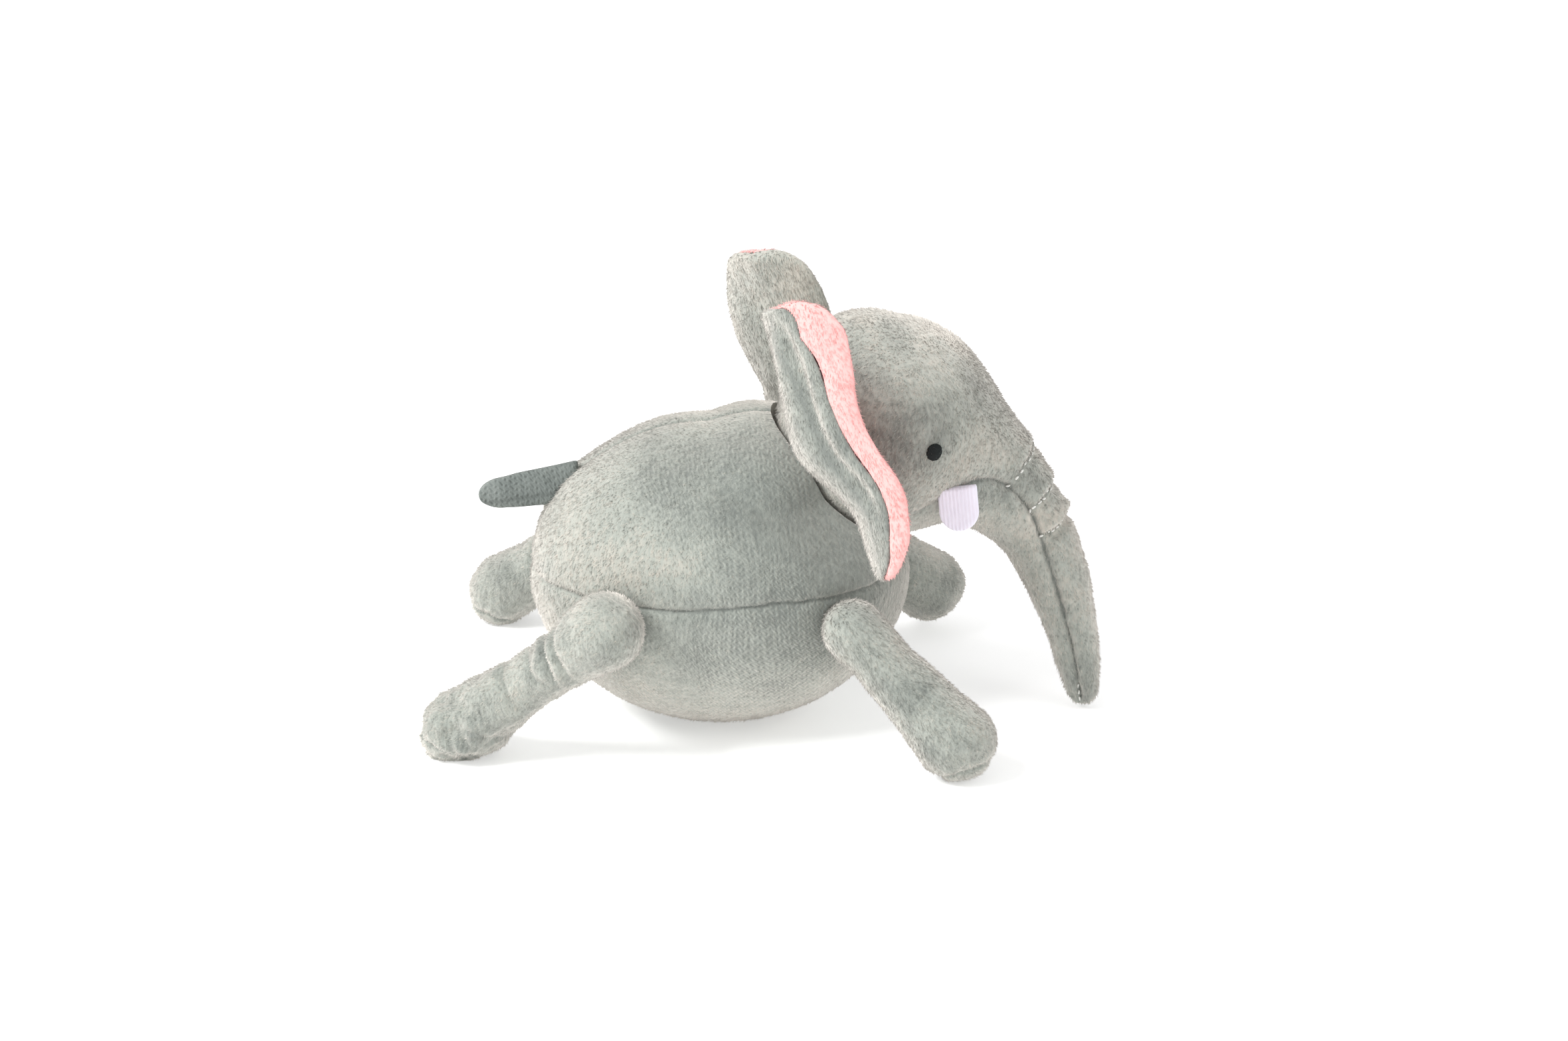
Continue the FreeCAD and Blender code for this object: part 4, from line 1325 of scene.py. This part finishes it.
def head_lie(root):
    """On the head the pile lies back and down, and on the trunk along it."""
    low = (1 - smooth_step(root[:, 2], 45, 85))[:, None]
    return (1 - low) * [-0.55, 0, -0.70] + low * [0.25, 0, -0.97]


tufts = {}
for side_name, side in SIDES.items():
    tufts[f"torso_{side_name}"] = tufts_on(
        torso, f"torso_{side_name}_pile", 2.3, leaning(-0.6, 0, -0.75), 401 + side,
        lambda root: outside_joints(root) & (root[:, 1] * side > 0))
    tufts[f"head_{side_name}"] = tufts_on(
        head, f"head_{side_name}_pile", 2.5, head_lie, 411 + side,
        lambda root: outside_torso(root) & (root[:, 1] * side > 0))
for count, (stem, (root, foot)) in enumerate(legs.items()):
    tufts[stem] = tufts_on(leg_covers[stem], f"{stem}_leg_pile", 2.6, leaning(*(foot - root)),
                           431 + count, outside_torso)
for count, (side_name, layers) in enumerate(ears.items()):
    for layer, cover in layers.items():
        name = f"{side_name}_{layer}"
        tufts[name] = tufts_on(cover, f"{name}_pile", 2.4, leaning(*EAR_LIE), 451 + count)

# %% [markdown]
# ## Short plush as a material
#
# Seen close, short plush is a field of tiny tufts that all lean the same way. Its colour is painted
# lighter where it was brushed and where the lamps light it, and painted dark as painted shade in the
# seams and hollows; the tufts' tips are painted lighter as a highlight at the edges of the form.
# Where the pile is thin, rows of the knitted ground show through. One node group makes the pattern
# for every plush cover: it gives a colour and a height, and each material adds its own colours and its own
# sheen.

# %% Node helpers
def add(tree, kind, inputs=None, **settings):
    """A new node; inputs are set to a number or colour, or linked to another node's output."""
    node = tree.nodes.new(kind)
    for key, value in settings.items():
        setattr(node, key, value)
    for key, value in (inputs or {}).items():
        if isinstance(value, bpy.types.NodeSocket):
            tree.links.new(value, node.inputs[key])
        else:
            node.inputs[key].default_value = value
    return node


def maths(tree, operation, first, second=0.0, clamp=False):
    """The output of a Math node."""
    node = add(tree, "ShaderNodeMath", {0: first, 1: second}, operation=operation, use_clamp=clamp)
    return node.outputs[0]


def mixed(tree, factor, first, second):
    """The output of a Mix node that blends two colours."""
    node = add(tree, "ShaderNodeMix", data_type="RGBA")
    for key, value in (("Factor", factor), ("A", first), ("B", second)):
        socket = next(item for item in node.inputs if item.name == key and item.enabled)
        if isinstance(value, bpy.types.NodeSocket):
            tree.links.new(value, socket)
        else:
            socket.default_value = value
    return next(item for item in node.outputs if item.enabled)


def noise_node(tree, vector, scale, detail, roughness):
    """The output of a Noise Texture node."""
    node = add(tree, "ShaderNodeTexNoise", {"Vector": vector, "Scale": scale, "Detail": detail,
                                            "Roughness": roughness})
    return node.outputs["Fac"]


def mapped(tree, vector, scale, rotation):
    """A place that is stretched and turned, so that a pattern on it lies another way."""
    settings = {"Vector": vector, "Scale": scale, "Rotation": rotation}
    return add(tree, "ShaderNodeMapping", settings).outputs[0]


def ranged(tree, value, low, high):
    """0 at low, 1 at high, and an even change between them."""
    node = add(tree, "ShaderNodeMapRange", {"Value": value, "From Min": low, "From Max": high})
    return node.outputs["Result"]


# %% The knitted ground as nodes
KNIT_COLUMN = 0.00148
KNIT_STITCH = 0.0018
KNIT_ZIGZAG = 0.0009


def knitted_ground(group, place, facing):
    """Columns that run up, each a line of small V shapes, round whichever way the cloth faces."""
    rows = mapped(group, place, (1, 1, 1), (0, 0.12, 0))
    parts = add(group, "ShaderNodeSeparateXYZ", {0: rows}).outputs
    zigzag = maths(group, "MULTIPLY", maths(group, "PINGPONG", parts["Z"], KNIT_ZIGZAG), 0.5)
    waves = []
    for round_the_piece in (parts["X"], parts["Y"]):
        column = maths(group, "ADD", round_the_piece, zigzag)
        column_turn = maths(group, "MULTIPLY", column, 2 * math.pi / KNIT_COLUMN)
        column_wave = maths(group, "SINE", column_turn)
        slant = maths(group, "MULTIPLY", round_the_piece, 0.6)
        stitch_height = maths(group, "ADD", parts["Z"], slant)
        stitch_turn = maths(group, "MULTIPLY", stitch_height, 2 * math.pi / KNIT_STITCH)
        stitch_wave = maths(group, "SINE", stitch_turn)
        swell = maths(group, "ADD", maths(group, "MULTIPLY", stitch_wave, 0.8), 0.6)
        waves.append(maths(group, "MULTIPLY", column_wave, swell))
    ways = add(group, "ShaderNodeSeparateXYZ", {0: facing}).outputs
    to_side, to_end = (maths(group, "ABSOLUTE", ways[key]) for key in "YX")
    on_the_side = ranged(group, maths(group, "SUBTRACT", to_side, to_end), -0.12, 0.12)
    on_the_end = maths(group, "SUBTRACT", 1.0, on_the_side)
    return maths(group, "ADD", maths(group, "MULTIPLY", waves[0], on_the_side),
                 maths(group, "MULTIPLY", waves[1], on_the_end))


# %% The plush group
GROUP_INPUTS = {
    "Place": "NodeSocketVector",
    "Facing": "NodeSocketVector",
    "Tone": "NodeSocketFloat",
    "Crease": "NodeSocketFloat",
    "Knit": "NodeSocketFloat",
    "Middle": "NodeSocketColor",
    "Brushed_and_lit": "NodeSocketColor",
    "Shade_and_dark": "NodeSocketColor",
}
GROUP_OUTPUTS = {"Colour": "NodeSocketColor", "Height": "NodeSocketFloat"}


def plush_group():
    """The pattern of every plush cover, from its place, its maps and its three colours."""
    group = bpy.data.node_groups.new("plush pile", "ShaderNodeTree")
    for name, kind in GROUP_INPUTS.items():
        group.interface.new_socket(name=name, in_out="INPUT", socket_type=kind)
    for name, kind in GROUP_OUTPUTS.items():
        group.interface.new_socket(name=name, in_out="OUTPUT", socket_type=kind)
    source = add(group, "NodeGroupInput").outputs
    place = source["Place"]
    bend = add(group, "ShaderNodeTexNoise", {"Vector": place, "Scale": 45.0, "Detail": 1.0})
    spread = add(group, "ShaderNodeVectorMath", {0: bend.outputs["Color"], 1: (0.5, 0.5, 0.5)},
                 operation="SUBTRACT")
    small = add(group, "ShaderNodeVectorMath", {0: spread.outputs[0], "Scale": 0.006}, operation="SCALE")
    swayed = add(group, "ShaderNodeVectorMath", {0: place, 1: small.outputs[0]}, operation="ADD").outputs[0]
    tufts = noise_node(group, mapped(group, swayed, (1, 1, 0.34), (0, 0.5, 0)), 950, 3, 0.6)
    fibres = noise_node(group, mapped(group, swayed, (1, 1, 0.2), (0, 0.62, 0)), 2600, 2, 0.6)
    patches = noise_node(group, place, 62, 3, 0.55)
    wide = noise_node(group, place, 24, 2, 0.5)
    knit_mask = maths(group, "MULTIPLY", source["Knit"], ranged(group, wide, 0.32, 0.55))
    loops = knitted_ground(group, swayed, source["Facing"])
    knit = maths(group, "MULTIPLY", loops, knit_mask)
    lightness = maths(group, "ADD", maths(group, "MULTIPLY", source["Tone"], 0.62),
                      maths(group, "MULTIPLY", patches, 0.34))
    spread_tufts = maths(group, "MULTIPLY", maths(group, "SUBTRACT", tufts, 0.5), 0.60)
    lightness = maths(group, "ADD", lightness, spread_tufts)
    lightness = maths(group, "ADD", lightness, maths(group, "MULTIPLY", knit, 0.13))
    # high tones, which hold painted light as well as the brushed nap, go towards the second colour
    pale = ranged(group, lightness, 0.40, 1.0)
    # low tones, partly painted shade and partly darker pile, go towards the third colour
    dark = maths(group, "MULTIPLY", ranged(group, lightness, 0.38, 0.06), 0.95, True)
    # the crease map is mixed in as painted shade in seams and folds
    folded = maths(group, "MULTIPLY", source["Crease"], 0.85, True)
    colour = mixed(group, pale, source["Middle"], source["Brushed_and_lit"])
    colour = mixed(group, dark, colour, source["Shade_and_dark"])
    colour = mixed(group, folded, colour, source["Shade_and_dark"])
    height = maths(group, "ADD", tufts, maths(group, "MULTIPLY", fibres, 0.45))
    height = maths(group, "ADD", height, maths(group, "MULTIPLY", knit, 0.30))
    add(group, "NodeGroupOutput", {"Colour": colour, "Height": height})
    return group


pile_group = plush_group()
print("plush group:", len(pile_group.nodes), "nodes")

# %% A plush material
BUMP_DISTANCE = 0.0006
PLUSH_GLOSS = 0.15
SHEEN_ROUGHNESS = 0.6


def attribute_value(tree, name):
    """A number that was stored on the mesh."""
    return add(tree, "ShaderNodeAttribute", attribute_name=name).outputs["Fac"]


def plush(name, middle, brushed_and_lit, deep, knit=1.0, sheen=0.2, sheen_tint=(0.95, 0.92, 0.86), bump=0.5):
    """A short pile in three colours: as it lies, where it was brushed and is painted lit, and painted shade
    down in the seams.
    """
    material, shader = principled(name, middle, 0.9)
    tree = material.node_tree
    coordinate = add(tree, "ShaderNodeTexCoord").outputs
    pattern = add(tree, "ShaderNodeGroup", node_tree=pile_group)
    tree.links.new(coordinate["Object"], pattern.inputs["Place"])
    tree.links.new(coordinate["Normal"], pattern.inputs["Facing"])
    tree.links.new(attribute_value(tree, "tone"), pattern.inputs["Tone"])
    tree.links.new(attribute_value(tree, "crease"), pattern.inputs["Crease"])
    knit_map = maths(tree, "MULTIPLY", attribute_value(tree, "knit"), knit)
    tree.links.new(knit_map, pattern.inputs["Knit"])
    for key, value in (("Middle", middle), ("Brushed_and_lit", brushed_and_lit), ("Shade_and_dark", deep)):
        pattern.inputs[key].default_value = (*value, 1)
    tree.links.new(pattern.outputs["Colour"], shader.inputs["Base Color"])
    if bump:
        relief = add(tree, "ShaderNodeBump", {"Height": pattern.outputs["Height"], "Strength": bump,
                                              "Distance": BUMP_DISTANCE})
        tree.links.new(relief.outputs["Normal"], shader.inputs["Normal"])
    shader.inputs["Specular IOR Level"].default_value = PLUSH_GLOSS
    shader.inputs["Sheen Weight"].default_value = sheen
    shader.inputs["Sheen Roughness"].default_value = SHEEN_ROUGHNESS
    shader.inputs["Sheen Tint"].default_value = (*sheen_tint, 1)
    return material


# %% The cloths
# each cloth's colours: as the pile lies; brushed and painted lit; painted shade in seams and hollows, also
# its darkest pile
GREY = ((0.300, 0.325, 0.292), (0.60, 0.53, 0.455), (0.115, 0.135, 0.125))
PINK = ((0.91, 0.44, 0.42), (0.94, 0.50, 0.47), (0.82, 0.37, 0.35))
DARK_GREY = ((0.155, 0.175, 0.165), (0.24, 0.26, 0.245), (0.07, 0.08, 0.075))
LILAC = ((0.74, 0.71, 0.80), (0.86, 0.83, 0.92), (0.50, 0.47, 0.58))
GREY_RIM = (1.0, 0.93, 0.86)
PINK_RIM = (1.0, 0.82, 0.79)
LILAC_RIM = (1, 1, 1)

grey_plush = plush("grey plush", *GREY, sheen=1.0, sheen_tint=GREY_RIM)
grey_tufts = plush("grey plush tufts", *GREY, sheen=1.0, sheen_tint=GREY_RIM, bump=0)
pink_plush = plush("pink plush", *PINK, sheen=0.3, sheen_tint=PINK_RIM, bump=0.35)
pink_tufts = plush("pink plush tufts", *PINK, sheen=0.3, sheen_tint=PINK_RIM, bump=0)
tail_knit = plush("dark grey knit", *DARK_GREY, knit=1.6)
tusk_felt = plush("pale lilac felt", *LILAC, knit=0.0, sheen_tint=LILAC_RIM, bump=0.25)
print("cloths", [cloth.name for cloth in (grey_plush, pink_plush, tail_knit, tusk_felt)])

# %% The threads
THREAD_GLOSS = 0.2
THREAD_BUMP = 0.0001


def thread(name, colour, roughness, scale):
    """Twisted thread: fine slanting plies in colour and relief."""
    material, shader = principled(name, colour, roughness)
    tree = material.node_tree
    place = add(tree, "ShaderNodeTexCoord").outputs["Object"]
    plies = noise_node(tree, mapped(tree, place, (1, 1, 0.25), (0.3, 0.6, 0)), scale, 2, 0.6)
    shade = mixed(tree, plies, (*[value * 0.55 for value in colour], 1),
                  (*[min(1, value * 1.35) for value in colour], 1))
    tree.links.new(shade, shader.inputs["Base Color"])
    shader.inputs["Specular IOR Level"].default_value = THREAD_GLOSS
    relief = add(tree, "ShaderNodeBump", {"Height": plies, "Strength": 0.5, "Distance": THREAD_BUMP})
    tree.links.new(relief.outputs["Normal"], shader.inputs["Normal"])
    return material


black_thread = thread("black thread", (0.006, 0.009, 0.009), 0.6, 4200)
silver_thread = thread("silver thread", (0.76, 0.77, 0.71), 0.5, 5200)
print("threads", black_thread.name, "and", silver_thread.name)

# %% [markdown]
# ## Joining the covers to the moving model
#
# Each cover takes the place of the plain solids it was built around, and moves with their body.
# The cover of the head and trunk is left without a body.

# %% Dressing a piece
def dress(piece, material, body, replaced):
    """Gives a piece its material, its body and the CAD nodes it replaces."""
    piece.data.materials.clear()
    piece.data.materials.append(material)
    if body:
        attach(piece, body)
    if replaced:
        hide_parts(*replaced)


# %% Torso, head and legs
dress(torso, grey_plush, "torso",
      ["torso_upper_right_panel", "torso_upper_left_panel", "torso_belly_panel", "torso_stuffing"])
dress(head, grey_plush, None,
      ["head_top_panel", "head_chin_panel", "head_stuffing", "trunk_top_panel", "trunk_under_panel",
       "trunk_stuffing"])
for piece in (head, tufts["head_right"], tufts["head_left"]):
    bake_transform(piece)
for stem, piece in leg_covers.items():
    names = ["leg_upper_panel", "leg_lower_panel", "sole", "leg_stuffing"]
    dress(piece, grey_plush, f"{stem}_leg", [f"{stem}_{name}" for name in names])

# %% Ears, tusks, eyes, tail and stitches
for side_name, layers in ears.items():
    body = f"{side_name}_ear"
    dress(layers["ear_lining"], pink_plush, body, [f"{side_name}_ear_lining"])
    dress(layers["ear_back"], grey_plush, body, [f"{side_name}_ear_back_panel"])
    dress(tusks[side_name], tusk_felt, "head", [f"{side_name}_tusk"])
    dress(eyes[side_name], black_thread, "head", [f"{side_name}_eye"])
dress(tail, tail_knit, "tail", ["tail_right_layer", "tail_left_layer"])
for name, piece in rows_of_stitches.items():
    dress(piece, silver_thread, "trunk" if name == "third" else "head",
          [f"{name}_crease_stitches"])
dress(tip_stitches, silver_thread, "trunk", [])
print("rows of stitches", list(rows_of_stitches))

# %% The pile
for side_name in SIDES:
    dress(tufts[f"torso_{side_name}"], grey_tufts, "torso", [])
    dress(tufts[f"head_{side_name}"], grey_tufts, None, [])
    dress(tufts[f"{side_name}_ear_lining"], pink_tufts, f"{side_name}_ear", [])
    dress(tufts[f"{side_name}_ear_back"], grey_tufts, f"{side_name}_ear", [])
for stem in legs:
    dress(tufts[stem], grey_tufts, f"{stem}_leg", [])
print("fields of tufts", len(tufts))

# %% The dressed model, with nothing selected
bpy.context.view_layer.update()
bpy.ops.object.select_all(action="DESELECT")
